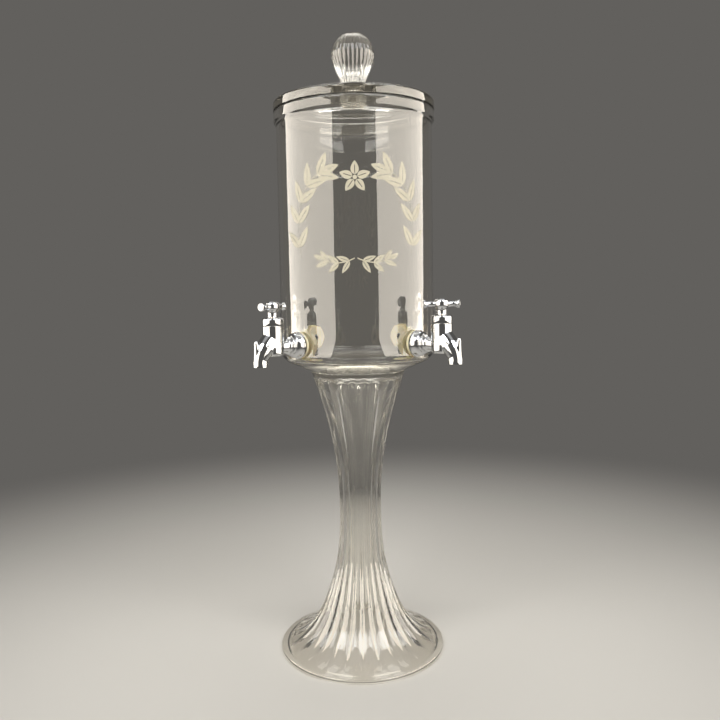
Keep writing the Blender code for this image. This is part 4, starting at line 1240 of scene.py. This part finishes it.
# %% Room: the same grey all round
world = bpy.data.worlds.new("room")
bpy.context.scene.world = world
world.use_nodes = True
walls = world.node_tree.nodes["Background"]
walls.inputs["Color"].default_value = light_value(ROOM_GREY)
walls.inputs["Strength"].default_value = 1


# %% A lamp
def soft_panel(name, location, look_at, width, height, radiance, tint="ffffff"):
    """A rectangular lamp whose surface has the same brightness all over."""
    data = bpy.data.lights.new(name, "AREA")
    data.shape = "RECTANGLE"
    data.size, data.size_y = width, height
    data.energy = radiance * math.pi * width * height
    data.color = light_value(tint)[:3]
    lamp = bpy.data.objects.new(name, data)
    bpy.context.scene.collection.objects.link(lamp)
    lamp.location = location
    lamp.rotation_euler = (Vector(look_at) - Vector(location)).to_track_quat("-Z", "Y").to_euler()
    return lamp


# %% Panels that are only mirrored, and the panels that light the scene
SHINES = (("all", 0.95, 2.6), ("glass", 0.96, 6.4))  # who mirrors it, metres aside, brightness
SHINE_TINT = "fff6e8"
MIDDLE = (0, 0, 0.3)
# The second shine hangs 10 mm behind the first: a ray counts only one of two lamps in the same place.
glass_pieces = bpy.data.collections.new("glass_pieces")
for piece in (pedestal, bowl, lid, knob, garland):
    glass_pieces.objects.link(piece)
for side, x in (("left", -1), ("right", 1)):
    for mirror, aside, radiance in SHINES:
        place, look_at = (aside * x, -0.6, 0.46), (0, -0.6, 0.4)
        shine = soft_panel(f"{side}_{mirror}_shine", place, look_at, 2.03, 1.0, radiance, SHINE_TINT)
        shine.visible_diffuse = shine.visible_transmission = False
    shine.light_linking.receiver_collection = glass_pieces
    soft_panel(side + "_front_panel", (0.85 * x, -1.0, 1.4), MIDDLE, 1.2, 0.8, 5.8)
soft_panel("back_panel", (0, 0.8, 2.0), MIDDLE, 1.6, 0.7, 2.2)
soft_panel("top_panel", (0, 0.1, 2.2), (0, 0.1, 0), 2.4, 2.4, 0.4)

# %% Camera
IMAGE_SIDE = 720
FOCAL_PIXELS = 724.3
SENSOR = 36
PITCH, YAW, ROLL = 5.61, 0.166, 0.97
CAMERA_AT = (0, -0.622, 0.315)
lens = bpy.data.cameras.new("camera")
lens.sensor_width = SENSOR
lens.lens = SENSOR * FOCAL_PIXELS / IMAGE_SIDE
lens.clip_start = 0.01
camera = bpy.data.objects.new("camera", lens)
bpy.context.scene.collection.objects.link(camera)
camera.location = CAMERA_AT
level = Euler((math.radians(90 - PITCH), 0, math.radians(-YAW))).to_matrix()
tilt = Euler((0, 0, math.radians(-ROLL))).to_matrix()
camera.rotation_euler = (level @ tilt).to_euler()
bpy.context.scene.camera = camera
print("the lens is", round(lens.lens, 1), "mm on a", SENSOR, "mm sensor")

# %% Colours as written, and enough bounces for light to cross every wall of glass
GLASS_BOUNCES, MIRROR_BOUNCES = 24, 12
scene = bpy.context.scene
scene.view_settings.view_transform = "Standard"
scene.cycles.max_bounces = GLASS_BOUNCES
scene.cycles.transmission_bounces = GLASS_BOUNCES
scene.cycles.glossy_bounces = MIRROR_BOUNCES
